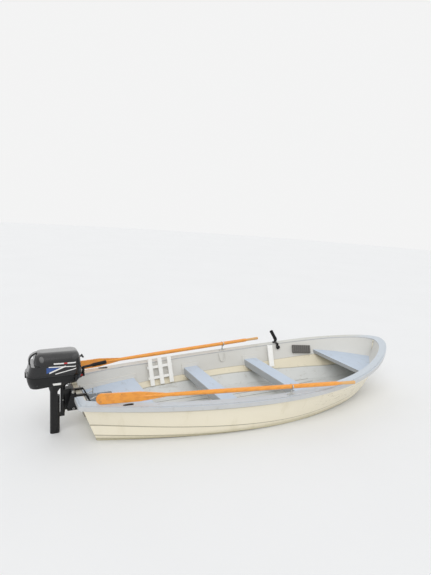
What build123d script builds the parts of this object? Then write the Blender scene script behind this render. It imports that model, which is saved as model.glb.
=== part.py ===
from build123d import *
from math import asin, atan2, cos, degrees, radians, sin, tan
import os

# Rowing and motor dinghy, lying afloat.
# Frame: origin on the waterline, on the centreline, below the transom's top edge.
# +X runs forward, +Y to port, +Z up. Millimetres.

# Hull
LENGTH = 4000.0
BEAM = 1580.0
SHEER_LOW = 369.0            # height of the rim's top above the waterline at its lowest
SHEER_LOW_STATION = 0.41     # a station is a place along the boat, as a share of the length from aft
SHEER_STERN_RISE = 49.0
SHEER_BOW_RISE = 244.0
SHEER_BOW_POWER = 2.4
STRAKE_STEP = 8.0            # width of the ledge under each strake
TRANSOM_RAKE = 22.0          # degrees from upright, foot forward
TRANSOM_WALL = 55.0
KEEL_HALF = 16.0
KEEL_PROUD = 12.0
KEEL_STATIONS = (0.9125, 0.8375, 0.725, 0.575, 0.4, 0.225, 0.06)
DEEPEST = 400.0              # reach of the cutting blocks below the waterline

# Rim round the boat's edge: a flat flange, a lower ledge outside it and a skirt
RIM_PLATE = 12.0
RIM_LIP = 6.0                # rim's inner edge stands this far past the liner's wall
RIM_FLANGE = 100.0
LEDGE_WIDTH = 20.0
LEDGE_DROP = 6.0
FASCIA = 10.0
FASCIA_DEPTH = 46.0
FASCIA_GAP = 4.0
TRANSOM_GAP = 8.0            # transom's top edge behind the fascia
RIM_CORNER = 34.0
STERN_FLANGE = 72.0
NOTCH_WIDTH = 400.0          # lowered part of the transom that carries the motor
NOTCH_Z = 362.0

# Liner
LINER_WALL = 6.0
LINER_GAP = 1.0
LEAST_HALF = 1.0             # least half-breadth of a section at the bow
SEAT_GAP = 0.3
WALL_PAD = 9.0               # moulded pads round the seats' ends stand this far off the wall
WALL_PAD_RISE = 38.0
WALL_PAD_BORDER = 24.0
GROOVE_WIDTH = 8.0
GROOVE_DEPTH = 2.5
GROOVE_PITCH = 92.0
GROOVE_COUNT = 6
GROOVE_AFT_GAP = 70.0
GROOVE_FORWARD_GAP = 225.0

# Seats
SEAT_Z = 250.0
BENCH_STATION = 0.1875
BENCH_WELL_AHEAD = 320.0     # front of the well behind the front of the bench
WELL_HALF = 190.0
WELL_DEPTH = 90.0
THWART_AFT_STATION = 0.35125
THWART_ROWING_STATION = 0.57125
THWART_WIDTH = 190.0
THWART_DEPTH = 90.0
THWART_ROUND = 14.0
BOW_SEAT_STATION = 0.81875
BOW_SEAT_Z = 345.0
BOW_SEAT_DEPTH = 42.0

BENCH_FRONT = BENCH_STATION * LENGTH
THWART_AFT_X = THWART_AFT_STATION * LENGTH
THWART_ROWING_X = THWART_ROWING_STATION * LENGTH
BOW_SEAT_X = BOW_SEAT_STATION * LENGTH

# Boards on the transom where the motor clamps
BOARD_HALF = 165.0
BOARD_THICK = 12.0
BOARD_LOW_Z = 190.0

# Oars and rowlocks
ROWLOCK_BACK = 285.0         # pin behind the rowing thwart's aft edge
ROWLOCK_INSET = 44.0         # pin's distance in from the rim's outer edge
SOCKET_LENGTH = 92.0
SOCKET_WIDTH = 40.0
SOCKET_PLATE = 7.0
SOCKET_BOSS = 12.5           # radius
SOCKET_DEPTH = 52.0
FIT_GAP = 0.5
PIN_RADIUS = 6.5
PIN_GAP = 0.05
SHOULDER_RADIUS = 11.0
SHOULDER_HEIGHT = 12.0
HORN_ROD = 6.5
HORN_OPENING = 20.0          # horns end this far above the oar's axis
OAR_LENGTH = 2620.0
OAR_Z = 455.0
LOOM_RADIUS = 22.0
LOOM_GAP = 0.4
NECK_RADIUS = 16.5
NECK_TAPER = 400.0
SPINE_LENGTH = 300.0         # raised middle of the blade, fading out of the neck
SPINE_RADIUS = 7.0
GRIP_RADIUS = 16.0
GRIP_LENGTH = 190.0
BLADE_LENGTH = 640.0
BLADE_WIDTH = 98.0
BLADE_THICK = 13.0
BLADE_WAIST = 90.0
BLADE_TAPER = 260.0          # how far the blade narrows towards its neck
BLADE_END = BLADE_WIDTH / 2

ROWLOCK_X = THWART_ROWING_X - ROWLOCK_BACK
# side, +1 to port, pin to the end of the grip, blade's turn towards the centreline in degrees,
# and how far from its tip the blade rests on the rim
OARS = (("starboard", -1, 735.0, 10.1, 46.0), ("port", 1, 600.0, 8.0, 212.0))

# Fittings
CLEAT_STATION = 0.1025
CLEAT_LENGTH = 96.0
CLEAT_WIDTH = 24.0
CLEAT_HEIGHT = 5.0
EYE_HOLE = 7.0
EYE_THICK = 8.0
EYE_RADIUS = 16.0
EYE_Z = 415.0
EYE_SHANK = 60.0
PLUG_RADIUS = 15.0
PLUG_PLACE = (-60.0, -25.0)  # y and z on the transom
PLUG_PROUD = 9.0
HOLDER_BACK = 480.0          # holder behind the bow seat
HOLDER_FOOT = 30.0           # radius
HOLDER_POST = 12.0           # radius
HOLDER_HEIGHT = 62.0
HOLDER_BORE = 19.0
HOLDER_WALL = 3.0
HOLDER_LENGTH = 150.0
HOLDER_BELOW = 26.0          # tube's length below the post's axis
HOLDER_CUP = 8.0
HOLDER_LEAN = 35.0

# What leans on the port side, with the heights where its back meets the liner
GRATING_AHEAD = 190.0        # ahead of the stern bench
GRATING_LENGTH = 300.0
GRATING_LOW_Z = 132.0
GRATING_TALL = 318.0
SLAT_WIDTH = 50.0
SLAT_THICK = 12.0
SLAT_COUNT = 3
BATTEN_WIDTH = 30.0
BATTEN_THICK = 10.0
BATTEN_OVERHANG = 10.0
BATTEN_HEIGHTS = (70.0, 190.0)
BOARD_AHEAD = 133.0          # ahead of the rowing thwart
BOARD_WIDTH = 68.0
BOARD_BODY = 18.0
BOARD_FOOT_Z = 150.0
BOARD_TALL = 285.0
PANEL_BACK = 40.0            # behind the bow seat
PANEL_LENGTH = 250.0
PANEL_LOW_Z = 300.0
PANEL_TALL = 104.0
PANEL_BODY = 26.0
PANEL_RIB_COUNT = 9
PANEL_RIB_PROUD = 12.0
PANEL_RIB_SHARE = 0.55       # rib's width as a share of its pitch

# Outboard motor: mounting
TILT_X = 8.0
TILT_Z = 414.0
TILT_PIN = 9.0
TILT_TUBE = 18.0
TILT_TUBE_HALF = 52.0
STEER_X = -70.0
STEER_PIN = 10.0
BARREL_RADIUS = 21.0
BARREL_LOW_Z = 190.0
BARREL_TOP_Z = 452.0
HEAD_HALF = 36.0             # half-width of the swivel bracket's head
SWIVEL_HEAD_DROP = 40.0      # head's foot below the tilt pin
STEER_LIMIT = 40.0           # degrees each way
WEB_HALF = 10.0
CLAMP_Y = 72.0
CLAMP_WIDTH = 26.0
CLAMP_LOW_Z = 235.0
CLAMP_BRIDGE = 16.0          # height of the arms above the transom's notch
CLAMP_LEG_GAP = 12.0
CLAMP_LEG = 22.0
QUADRANT_AFT = 50.0          # the arms' lower part reaches this far aft of the frame's origin
ROD_PLACE = (14.5, 250.0)    # x and z of the rod that the swivel bracket rests on
ROD_RADIUS = 6.0
ROD_HOLE_STEP = 9.0          # degrees about the tilt pin
SCREW_Z = 300.0
SCREW_RADIUS = 5.5
SCREW_LENGTH = 92.0
SCREW_FOOT_RADIUS = 15.0
HANDLE_RADIUS = 4.5
HANDLE_HALF = 32.0

# Outboard motor: cowls
# height at mid-length, aft end, front end, half-breadth and slope of the section in degrees
PAN_LINES = ((504.0, -355.0, 56.0, 116.0, 4.5), (560.0, -377.0, 80.0, 138.0, 1.5),
             (597.0, -381.0, 86.0, 142.0, 0.0))
SIDE_LINES = ((603.0, -381.0, 86.0, 142.0, 0.0), (660.0, -368.0, 79.0, 140.5, 4.0),
              (718.0, -357.0, 72.0, 138.0, 7.5))
CROWN_LINES = ((719.0, -322.0, 68.0, 135.0, 7.5), (755.0, -318.0, 61.0, 121.0, 5.0),
               (785.0, -303.0, 47.0, 92.0, 2.0), (800.0, -268.0, 14.0, 46.0, 0.0))
COWL_CORNER = 0.62           # corner radius as a share of the half-breadth
COWL_WALL = 5.0
COWL_LIP = 3.0
COWL_LIP_HEIGHT = 11.0
SEAL_INSET = 4.5
SEAL_WIDTH = 20.0
PAN_FLOOR_Z = 535.0
GRIP_HALF = 21.0
# x and z of three points on each face of the lifting strap, from the crown down and back up
GRIP_OUTSIDE = ((-292.0, 799.0), (-346.0, 768.0), (-357.0, 692.0))
GRIP_INSIDE = ((-344.0, 692.0), (-334.0, 758.0), (-292.0, 785.0))
BLOCK_AFT = -290.0
BLOCK_FRONT = 0.0
BLOCK_HALF = 90.0
BLOCK_TOP_Z = 735.0

# Outboard motor: leg, gearcase and propeller
LEG_X = -138.0
LEG_LENGTH = 86.0
LEG_WIDTH = 46.0
LEG_HEAD_Z = 478.0
LEG_HEAD_LENGTH = 176.0
LEG_HEAD_WIDTH = 120.0
LEG_HEAD_BACK = 20.0         # head's aft end behind the leg's
LEG_HEAD_DEPTH = 60.0        # up into the pan
LEG_NECK_Z = 405.0
LUG_HALF = 16.0              # lug that the steering pin stands on
LUG_HEIGHT = 30.0
TURN_GAP = 6.0               # room round what the leg turns past
PIN_FACE_GAP = 1.0
PLATE_Z = -85.0
PLATE_THICK = 8.0
PLATE_LENGTH = 270.0
PLATE_WIDTH = 120.0
PLATE_BACK = 50.0
PROP_X = -222.0
PROP_Z = -198.0
PROP_RADIUS = 95.0
HUB_RADIUS = 26.0
HUB_LENGTH = 62.0
SHAFT_RADIUS = 6.0
BLADE_COUNT = 3
# distance from the shaft, chord, thickness and pitch angle of a propeller blade's sections
PROP_LINES = ((20.0, 46.0, 7.0, 58.0), (46.0, 70.0, 5.5, 42.0), (72.0, 66.0, 4.0, 32.0),
              (90.0, 36.0, 2.5, 27.0), (PROP_RADIUS, 14.0, 1.5, 26.0))
TORPEDO_RADIUS = 31.0
TORPEDO_LENGTH = 190.0
TORPEDO_NOSE = 70.0
NOSE_FLAT = 4.0              # radius of the nose's flat end
STRUT_WIDTH = 28.0
SKEG_Z = -330.0
SKEG_THICK = 10.0
TAB_LENGTH = 60.0
TAB_DEPTH = 26.0
TAB_TAPER = 12.0
TAB_HALF = 3.0
SHAFT_END = 14.0             # shaft behind the propeller's hub

# Outboard motor: controls
TILLER_X = 110.0
TILLER_Z = 610.0
TILLER_RISE = 7.5
TILLER_ARM = 90.0
TILLER_GRIP = 125.0
TILLER_GRIP_RADIUS = 17.0
TILLER_ROOT_LOW_Z = 530.0
TILLER_ROOT_TOP_Z = 562.0
STARTER_Z = 722.0
STARTER_REACH = 30.0
STARTER_STEM = 12.0
STARTER_BAR = 8.0            # radius
STARTER_HALF = 34.0
SWITCH_PLACE = (-34.0, 548.0)    # y and z on the pan's front
SWITCH_RADIUS = 11.0
SWITCH_BUTTON = 6.0
SWITCH_X = 100.0
LEVER_X = 20.0
LEVER_Z = 545.0
LEVER_HUB = 9.0              # radius
LEVER_PROUD = 12.0
LEVER_THICK = 5.0
LEVER_TALL = 46.0
LATCH_HALF = 16.0
LATCH_THICK = 7.0
LATCH_DROP = 26.0

# Gunwale half-breadth and strake-1 half-breadth are shares of half the beam.
# station, gunwale, knuckle, knuckle height, keel height
HULL_LINES = (
    (0.0000, 0.513, 0.342, 192.0, -100.0),
    (0.0875, 0.648, 0.506, 180.0, -112.0),
    (0.2250, 0.813, 0.696, 142.0, -122.0),
    (0.4000, 0.953, 0.825, 97.0, -130.0),
    (0.5750, 1.000, 0.810, 78.0, -125.0),
    (0.7250, 0.930, 0.665, 92.0, -100.0),
    (0.8375, 0.755, 0.468, 125.0, -45.0),
    (0.9125, 0.538, 0.285, 190.0, 60.0),
    (0.9625, 0.332, 0.146, 300.0, 205.0),
    (0.9875, 0.177, 0.063, 420.0, 345.0),
    (1.0000, 0.020, 0.006, 520.0, 470.0),
)
# breadth share and height share from keel to knuckle, and whether a ledge follows
BILGE_LINES = ((0.40, 0.07, 0), (0.76, 0.25, 0), (0.905, 0.49, 1), (0.955, 0.64, 1), (1.0, 1.0, 1))
# station, floor half and height, bilge half and height, wall foot half and height, top half
LINER_LINES = (
    (0.0000, 0.190, 30.0, 0.298, 110.0, 0.340, 175.0, 0.386),
    (0.0875, 0.260, 30.0, 0.385, 110.0, 0.437, 180.0, 0.522),
    (0.2250, 0.380, 30.0, 0.544, 130.0, 0.601, 185.0, 0.686),
    (0.4000, 0.468, 30.0, 0.671, 115.0, 0.741, 172.0, 0.827),
    (0.5750, 0.481, 30.0, 0.684, 115.0, 0.772, 175.0, 0.873),
    (0.7250, 0.342, 35.0, 0.544, 135.0, 0.671, 240.0, 0.804),
    (0.8375, 0.190, 60.0, 0.342, 170.0, 0.500, 300.0, 0.627),
    (0.9125, 0.076, 150.0, 0.177, 260.0, 0.297, 380.0, 0.411),
    (0.9625, 0.013, 350.0, 0.038, 400.0, 0.076, 470.0, 0.152),
    (0.9750, 0.005, 440.0, 0.008, 480.0, 0.012, 520.0, 0.019),
)


def between(rows, x):
    """Value at x on straight lines between (x, value) rows."""
    for (x0, y0), (x1, y1) in zip(rows, rows[1:]):
        if x <= x1:
            return y0 + (y1 - y0) * (x - x0) / (x1 - x0)
    return rows[-1][1]


def sheer(x):
    """Height of the rim's top at x."""
    low = SHEER_LOW_STATION * LENGTH
    if x < low:
        return SHEER_LOW + SHEER_STERN_RISE * ((low - x) / low) ** 2
    return SHEER_LOW + SHEER_BOW_RISE * ((x - low) / (LENGTH - low)) ** SHEER_BOW_POWER


def rim_half(x):
    """Half-breadth of the rim's outer edge at x."""
    return between([(row[0] * LENGTH, row[1] * BEAM / 2) for row in HULL_LINES], x)


def keel_z(x):
    """Height of the keel line at x."""
    return between([(row[0] * LENGTH, row[4]) for row in HULL_LINES], x)


def liner_section(row):
    """Half-section of the liner's inner face at one row of its table, as (half, height) points."""
    station, floor, floor_z, bilge, bilge_z, foot, foot_z, top = row
    x = station * LENGTH
    shares = ((floor, floor_z), (bilge, bilge_z), (foot, foot_z), (top, sheer(x)))
    return x, [(share * BEAM / 2, z) for share, z in shares]


def wall_half(x, z):
    """Half-breadth of the liner's inner face at x and height z."""
    rows = []
    for row in LINER_LINES:
        station_x, points = liner_section(row)
        rows.append((station_x, between([(height, half) for half, height in points], z)))
    return between(rows, x)


def mirrored(points):
    """Closed wire through half-section points (x, y, z), starboard then port."""
    port = [p for p in reversed(points) if p[1] > 0]
    starboard = [(x, -y, z) for x, y, z in points]
    return Wire.make_polygon([Vector(*p) for p in starboard + port], close=True)


def hull_block():
    """Outer form of the hull, solid and standing above the sheer."""
    length = LENGTH - FASCIA - FASCIA_GAP
    half = BEAM / 2 - FASCIA - FASCIA_GAP
    wires = []
    for station, gunwale, knuckle, knuckle_z, keel in HULL_LINES:
        x = station * length
        points = [(x, 0, keel)]
        out = 0.0
        for breadth, height, ledge in BILGE_LINES:
            y = breadth * knuckle * half + out
            z = keel + height * (knuckle_z - keel)
            points.append((x, y, z))
            if ledge:
                out += STRAKE_STEP * gunwale
                points.append((x, y + STRAKE_STEP * gunwale, z))
        points.append((x, max(gunwale * half, points[-1][1] + 1), sheer(x)))
        points.append((x, points[-1][1], sheer(x) + FASCIA_DEPTH))
        wires.append(mirrored(points))
    return Solid.make_loft(wires, ruled=False)


def liner_block(offset):
    """Space inside the liner, grown outwards by offset."""
    wires = []
    for row in LINER_LINES:
        x, (floor, bilge, foot, top) = liner_section(row)
        points = [
            (x, floor[0] + offset / 2, floor[1] - offset),
            (x, bilge[0] + offset * 0.8, bilge[1] - offset * 0.5),
            (x, foot[0] + offset, foot[1]),
            (x, top[0] + offset, top[1]),
            (x, top[0] + offset, top[1] + FASCIA_DEPTH),
        ]
        wires.append(mirrored([(x, max(y, LEAST_HALF), z) for x, y, z in points]))
    return Solid.make_loft(wires, ruled=False)


def below_sheer(drop):
    """Everything lower than the sheer line dropped by drop."""
    count = 9
    overrun = 60
    span = [-overrun + i * (LENGTH + 2 * overrun) / (count - 1) for i in range(count)]
    top = Spline([(x, 0, sheer(max(0, min(x, LENGTH))) - drop) for x in span])
    start, end = top @ 0, top @ 1
    side = Polyline([end, (end.X, 0, -DEEPEST), (start.X, 0, -DEEPEST), start])
    return extrude(make_face(Wire([top] + list(side.edges()))), amount=BEAM, both=True, dir=(0, 1, 0))


def ahead_of_transom(offset):
    """Everything forward of the raked transom plane moved forward by offset."""
    slope = tan(radians(TRANSOM_RAKE))
    top_z, low_z = sheer(0) + DEEPEST, -DEEPEST
    top_x = FASCIA + TRANSOM_GAP + offset - slope * (top_z - sheer(0))
    low_x = FASCIA + TRANSOM_GAP + offset - slope * (low_z - sheer(0))
    ahead = LENGTH * 1.2
    outline = Polyline([(top_x, 0, top_z), (low_x, 0, low_z), (ahead, 0, low_z), (ahead, 0, top_z)], close=True)
    return extrude(make_face(outline), amount=BEAM, both=True, dir=(0, 1, 0))


def plan_prism(rows, aft_x, corner):
    """Upright prism over a plan outline given as (x, half) rows, with rounded stern corners."""
    port = Spline([(x, y, 0) for x, y in rows])
    starboard = Spline([(x, -y, 0) for x, y in rows])
    stern = Line((aft_x, rows[0][1], 0), (aft_x, -rows[0][1], 0))
    stem = Line((rows[-1][0], rows[-1][1], 0), (rows[-1][0], -rows[-1][1], 0))
    face = make_face(Wire([port, stem, starboard, stern]))
    prism = extrude(face, amount=2 * LENGTH, dir=(0, 0, 1)).moved(Location((0, 0, -LENGTH)))
    uprights = [e for e in prism.edges().filter_by(Axis.Z) if e.center().X < aft_x + 1]
    return fillet(uprights, corner)


def outer_prism(inset):
    rows = [(row[0] * (LENGTH - inset), row[1] * (BEAM / 2 - inset)) for row in HULL_LINES]
    rows = [(x + inset * (1 - x / LENGTH), y) for x, y in rows]
    return plan_prism(rows, inset, RIM_CORNER - inset)


def inner_prism():
    rows = [(row[0] * LENGTH, row[7] * BEAM / 2 - RIM_LIP) for row in LINER_LINES]
    rows[-1] = (rows[-1][0] - RIM_LIP, rows[-1][1] + RIM_LIP - 1)
    rows = [(max(x, STERN_FLANGE), y) for x, y in rows]
    return plan_prism(rows, STERN_FLANGE, RIM_CORNER / 2)


def box(x0, x1, y0, y1, z0, z1):
    """Box between two corners."""
    return Pos((x0 + x1) / 2, (y0 + y1) / 2, (z0 + z1) / 2) * Box(x1 - x0, y1 - y0, z1 - z0)


def cylinder(radius, start, end):
    """Round bar from start to end."""
    a, b = Vector(*start), Vector(*end)
    return Plane(origin=a, z_dir=b - a) * Cylinder(radius, (b - a).length,
                                                   align=(Align.CENTER, Align.CENTER, Align.MIN))


def side_plate(outline, half):
    """Plate over an outline of (x, z) points, standing on the centreline and half thick each way."""
    face = make_face(Polyline([(x, 0, z) for x, z in outline], close=True))
    return extrude(face, amount=half, both=True, dir=(0, 1, 0))


def transom_x(z):
    """Where the raked outer face of the transom lies at height z."""
    return FASCIA + TRANSOM_GAP + tan(radians(TRANSOM_RAKE)) * (sheer(0) - z)


def board_face(z):
    """Where the inboard face of the inner transom board lies at height z."""
    return transom_x(z) + TRANSOM_WALL + LINER_GAP + LINER_WALL + BOARD_THICK


def seat_zones():
    """Boxes that the moulded pads fill on the wall round the seats' ends."""
    half = BEAM / 2
    top = SEAT_Z + WALL_PAD_RISE
    low = SEAT_Z - THWART_DEPTH - WALL_PAD_BORDER
    zones = [box(0, BENCH_FRONT + WALL_PAD_BORDER, -half, half, SEAT_Z - THWART_DEPTH, top)]
    for x in (THWART_AFT_X, THWART_ROWING_X):
        zones.append(box(x - WALL_PAD_BORDER, x + THWART_WIDTH + WALL_PAD_BORDER, -half, half, low, top))
    return Compound(zones)


def make_hull():
    notch = box(-200, 300, -NOTCH_WIDTH / 2, NOTCH_WIDTH / 2, NOTCH_Z, sheer(0) + 200)
    under_plate = below_sheer(RIM_PLATE)
    shell = (hull_block() & ahead_of_transom(0) & under_plate) - (liner_block(LINER_WALL + LINER_GAP)
                                                                 & ahead_of_transom(TRANSOM_WALL))
    shell -= notch
    space = liner_block(0) & ahead_of_transom(TRANSOM_WALL + LINER_GAP + LINER_WALL)
    liner = liner_block(LINER_WALL) & ahead_of_transom(TRANSOM_WALL + LINER_GAP) & under_plate
    liner -= space - ((seat_zones() & space) - liner_block(-WALL_PAD))
    liner -= notch
    grooves = []
    for i in range(GROOVE_COUNT):
        y = (i - (GROOVE_COUNT - 1) / 2) * GROOVE_PITCH
        grooves.append(box(BENCH_FRONT + GROOVE_AFT_GAP, BOW_SEAT_X - GROOVE_FORWARD_GAP,
                           y - GROOVE_WIDTH / 2, y + GROOVE_WIDTH / 2, 0, SEAT_Z / 2))
    liner -= Compound(grooves) & liner_block(GROOVE_DEPTH)
    plate = (outer_prism(LEDGE_WIDTH) - inner_prism()) & (below_sheer(0) - below_sheer(RIM_PLATE))
    ledge = (outer_prism(0) - outer_prism(LEDGE_WIDTH + FASCIA)) & (below_sheer(LEDGE_DROP)
                                                                   - below_sheer(RIM_PLATE))
    skirt = (outer_prism(0) - outer_prism(FASCIA)) & (below_sheer(LEDGE_DROP) - below_sheer(FASCIA_DEPTH))
    rim = plate + ledge + skirt - notch
    for side in (-1, 1):
        y = side * (rim_half(ROWLOCK_X) - ROWLOCK_INSET)
        top = sheer(ROWLOCK_X)
        well = cylinder(SOCKET_BOSS + FIT_GAP, (ROWLOCK_X, y, top - SOCKET_DEPTH - FIT_GAP),
                        (ROWLOCK_X, y, top + SOCKET_DEPTH))
        rim -= well
        shell -= well
    return {"hull_shell": shell, "inner_liner": liner, "gunwale_rim": rim}


def make_seats():
    aft_gap = TRANSOM_WALL + LINER_GAP + LINER_WALL + SEAT_GAP
    cabin = liner_block(-SEAT_GAP) & ahead_of_transom(aft_gap)
    narrow = liner_block(-WALL_PAD - SEAT_GAP)
    half = BEAM / 2
    floor_z = LINER_LINES[0][2] + SEAT_GAP
    pad_low = SEAT_Z - THWART_DEPTH - SEAT_GAP
    bench = box(0, BENCH_FRONT, -half, half, floor_z, SEAT_Z) & cabin
    bench -= box(0, BENCH_FRONT, -half, half, pad_low, SEAT_Z) - narrow
    bench -= box(0, BENCH_FRONT - BENCH_WELL_AHEAD, -WELL_HALF, WELL_HALF, SEAT_Z - WELL_DEPTH, SEAT_Z)
    seats = {"stern_bench": bench}
    for name, x in (("thwart_aft", THWART_AFT_X), ("thwart_rowing", THWART_ROWING_X)):
        plank = box(x, x + THWART_WIDTH, -half, half, SEAT_Z - THWART_DEPTH, SEAT_Z)
        plank = fillet(plank.edges().filter_by(Axis.Y), THWART_ROUND)
        seats[name] = plank & narrow
    seats["bow_seat"] = box(BOW_SEAT_X, LENGTH, -half, half, BOW_SEAT_Z - BOW_SEAT_DEPTH, BOW_SEAT_Z) & cabin
    return seats


def make_fittings():
    hull = hull_block()
    parts = {}
    top = Spline([(f * LENGTH, 0, keel_z(f * LENGTH) + KEEL_PROUD) for f in KEEL_STATIONS])
    low = Spline([(f * LENGTH, 0, keel_z(f * LENGTH) - KEEL_PROUD) for f in KEEL_STATIONS])
    ends = [Line(top @ 0, low @ 0), Line(top @ 1, low @ 1)]
    strip = extrude(make_face(Wire([top, low] + ends)), amount=KEEL_HALF, both=True, dir=(0, 1, 0))
    parts["keel_strip"] = (strip & ahead_of_transom(0)) - hull
    outer_zone = box(-100, 400, -BOARD_HALF, BOARD_HALF, BOARD_LOW_Z, NOTCH_Z)
    parts["transom_pad_outer"] = (ahead_of_transom(-BOARD_THICK) - ahead_of_transom(0)) & outer_zone
    inside = TRANSOM_WALL + LINER_GAP + LINER_WALL
    inner_zone = box(-100, 400, -BOARD_HALF, BOARD_HALF, SEAT_Z - WELL_DEPTH + SEAT_GAP, NOTCH_Z)
    inner = ahead_of_transom(inside) - ahead_of_transom(inside + BOARD_THICK)
    parts["transom_pad_inner"] = inner & inner_zone
    normal = Vector(-cos(radians(TRANSOM_RAKE)), 0, -sin(radians(TRANSOM_RAKE)))
    plug_y, plug_z = PLUG_PLACE
    start = Vector(transom_x(plug_z), plug_y, plug_z)
    parts["drain_plug"] = cylinder(PLUG_RADIUS, start, start + normal * PLUG_PROUD)
    eye_x = LENGTH - EYE_RADIUS - 3
    half = EYE_THICK / 2
    lug = box(eye_x - EYE_SHANK, eye_x, -half, half, EYE_Z - EYE_RADIUS, EYE_Z + EYE_RADIUS)
    lug += cylinder(EYE_RADIUS, (eye_x, -half, EYE_Z), (eye_x, half, EYE_Z))
    lug -= cylinder(EYE_HOLE, (eye_x, -EYE_THICK, EYE_Z), (eye_x, EYE_THICK, EYE_Z))
    parts["bow_eye"] = lug - hull
    for name, side in (("starboard", -1), ("port", 1)):
        parts[f"cleat_{name}"] = make_cleat(side)
    return parts


def make_cleat(side):
    """Folding cleat, lying flat: a plate with its bar let into the middle."""
    x = CLEAT_STATION * LENGTH
    y = side * (rim_half(x) - RIM_FLANGE / 2)
    z = sheer(x)
    plate = Pos(x, y, z - CLEAT_HEIGHT) * extrude(SlotOverall(CLEAT_LENGTH, CLEAT_WIDTH), amount=2 * CLEAT_HEIGHT)
    slot = SlotOverall(CLEAT_LENGTH * 0.7, CLEAT_WIDTH * 0.42) - SlotOverall(CLEAT_LENGTH * 0.62, CLEAT_WIDTH * 0.2)
    plate -= Pos(x, y, z + CLEAT_HEIGHT * 0.6) * extrude(slot, amount=CLEAT_HEIGHT)
    return plate - below_sheer(0)


def wall_plane(x0, x1, low_z, high_z, high_half):
    """Plane on the port wall: x along it, y up its lean, z inboard, with its origin at the aft low corner."""
    foot = Vector(x0, wall_half(x0, low_z), low_z)
    along = (Vector(x1, wall_half(x1, low_z), low_z) - foot).normalized()
    middle = (x0 + x1) / 2
    rise = Vector(middle, high_half, high_z) - Vector(middle, wall_half(middle, low_z), low_z)
    normal = along.cross(rise).normalized()
    return Plane(origin=foot + normal * SEAT_GAP, x_dir=along, z_dir=normal)


def make_wall_pieces():
    """Grating, board and ribbed panel that stand against the port side."""
    cabin = liner_block(-SEAT_GAP)
    under_rim = below_sheer(RIM_PLATE + SEAT_GAP)
    clear = inner_prism()
    parts = {}
    x0 = BENCH_FRONT + GRATING_AHEAD
    x1 = x0 + GRATING_LENGTH
    rail = sheer((x0 + x1) / 2)
    plane = wall_plane(x0, x1, GRATING_LOW_Z, rail, wall_half((x0 + x1) / 2, rail) - RIM_LIP - BATTEN_THICK)
    pitch = (GRATING_LENGTH - SLAT_WIDTH) / (SLAT_COUNT - 1)
    grating = Part()
    for i in range(SLAT_COUNT):
        grating += box(i * pitch, i * pitch + SLAT_WIDTH, 0, GRATING_TALL, BATTEN_THICK, BATTEN_THICK + SLAT_THICK)
    for y in BATTEN_HEIGHTS:
        grating += box(-BATTEN_OVERHANG, GRATING_LENGTH + BATTEN_OVERHANG, y, y + BATTEN_WIDTH, 0, BATTEN_THICK)
    parts["grating"] = (plane * grating) & cabin & clear
    x0 = THWART_ROWING_X + THWART_WIDTH + BOARD_AHEAD
    x1 = x0 + BOARD_WIDTH
    rail = sheer((x0 + x1) / 2)
    plane = wall_plane(x0, x1, BOARD_FOOT_Z, rail, wall_half((x0 + x1) / 2, rail) - RIM_LIP)
    board = box(0, BOARD_WIDTH, 0, BOARD_TALL, 0, BOARD_BODY)
    parts["side_board"] = (plane * board) & cabin & clear
    x1 = BOW_SEAT_X - PANEL_BACK
    x0 = x1 - PANEL_LENGTH
    high_z = PANEL_LOW_Z + PANEL_TALL
    plane = wall_plane(x0, x1, PANEL_LOW_Z, high_z, wall_half((x0 + x1) / 2, high_z))
    panel = box(0, PANEL_LENGTH, 0, PANEL_TALL, 0, PANEL_BODY)
    pitch = PANEL_LENGTH / PANEL_RIB_COUNT
    inset = pitch * (1 - PANEL_RIB_SHARE) / 2
    for i in range(PANEL_RIB_COUNT):
        panel += box(i * pitch + inset, (i + 1) * pitch - inset, inset, PANEL_TALL - inset, PANEL_BODY,
                     PANEL_BODY + PANEL_RIB_PROUD)
    parts["side_panel"] = (plane * panel) & cabin & under_rim
    return parts


def make_rod_holder():
    x = BOW_SEAT_X - HOLDER_BACK
    y = rim_half(x) - RIM_FLANGE / 2
    z = sheer(x)
    foot = cylinder(HOLDER_FOOT, (x, y, z - RIM_PLATE), (x, y, z + 10)) - below_sheer(0)
    post = cylinder(HOLDER_POST, (x, y, z + 5), (x, y, z + HOLDER_HEIGHT - HOLDER_BORE + 5))
    lean = radians(HOLDER_LEAN)
    way = Vector(-sin(lean), 0, cos(lean))
    low = Vector(x, y, z + HOLDER_HEIGHT) - way * HOLDER_BELOW
    high = low + way * HOLDER_LENGTH
    outer = HOLDER_BORE + HOLDER_WALL
    collar = cylinder(outer + 2, high - way * 10, high) + cylinder(outer + 2, low + way * 20, low + way * 34)
    tube = cylinder(outer, low, high) + collar
    return {"rod_holder": foot + post + tube - cylinder(HOLDER_BORE, low + way * HOLDER_CUP, high)}


def make_rowing_gear():
    parts = {}
    for name, side, inboard, turn, rest in OARS:
        y = side * (rim_half(ROWLOCK_X) - ROWLOCK_INSET)
        z = sheer(ROWLOCK_X)
        parts[f"rowlock_socket_{name}"] = make_socket(y, z)
        parts[f"rowlock_{name}"] = make_rowlock(y, z, side * turn)
        reach = OAR_LENGTH - inboard - rest
        half = blade_half(rest)
        rest_z = sheer(ROWLOCK_X - reach * cos(radians(turn))) + SEAT_GAP + half
        oar = make_oar(inboard).rotate(Axis.Y, -degrees(asin((OAR_Z - rest_z) / reach)))
        parts[f"oar_{name}"] = oar.moved(Location((ROWLOCK_X, y, OAR_Z), (0, 0, side * turn)))
    return parts


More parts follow.
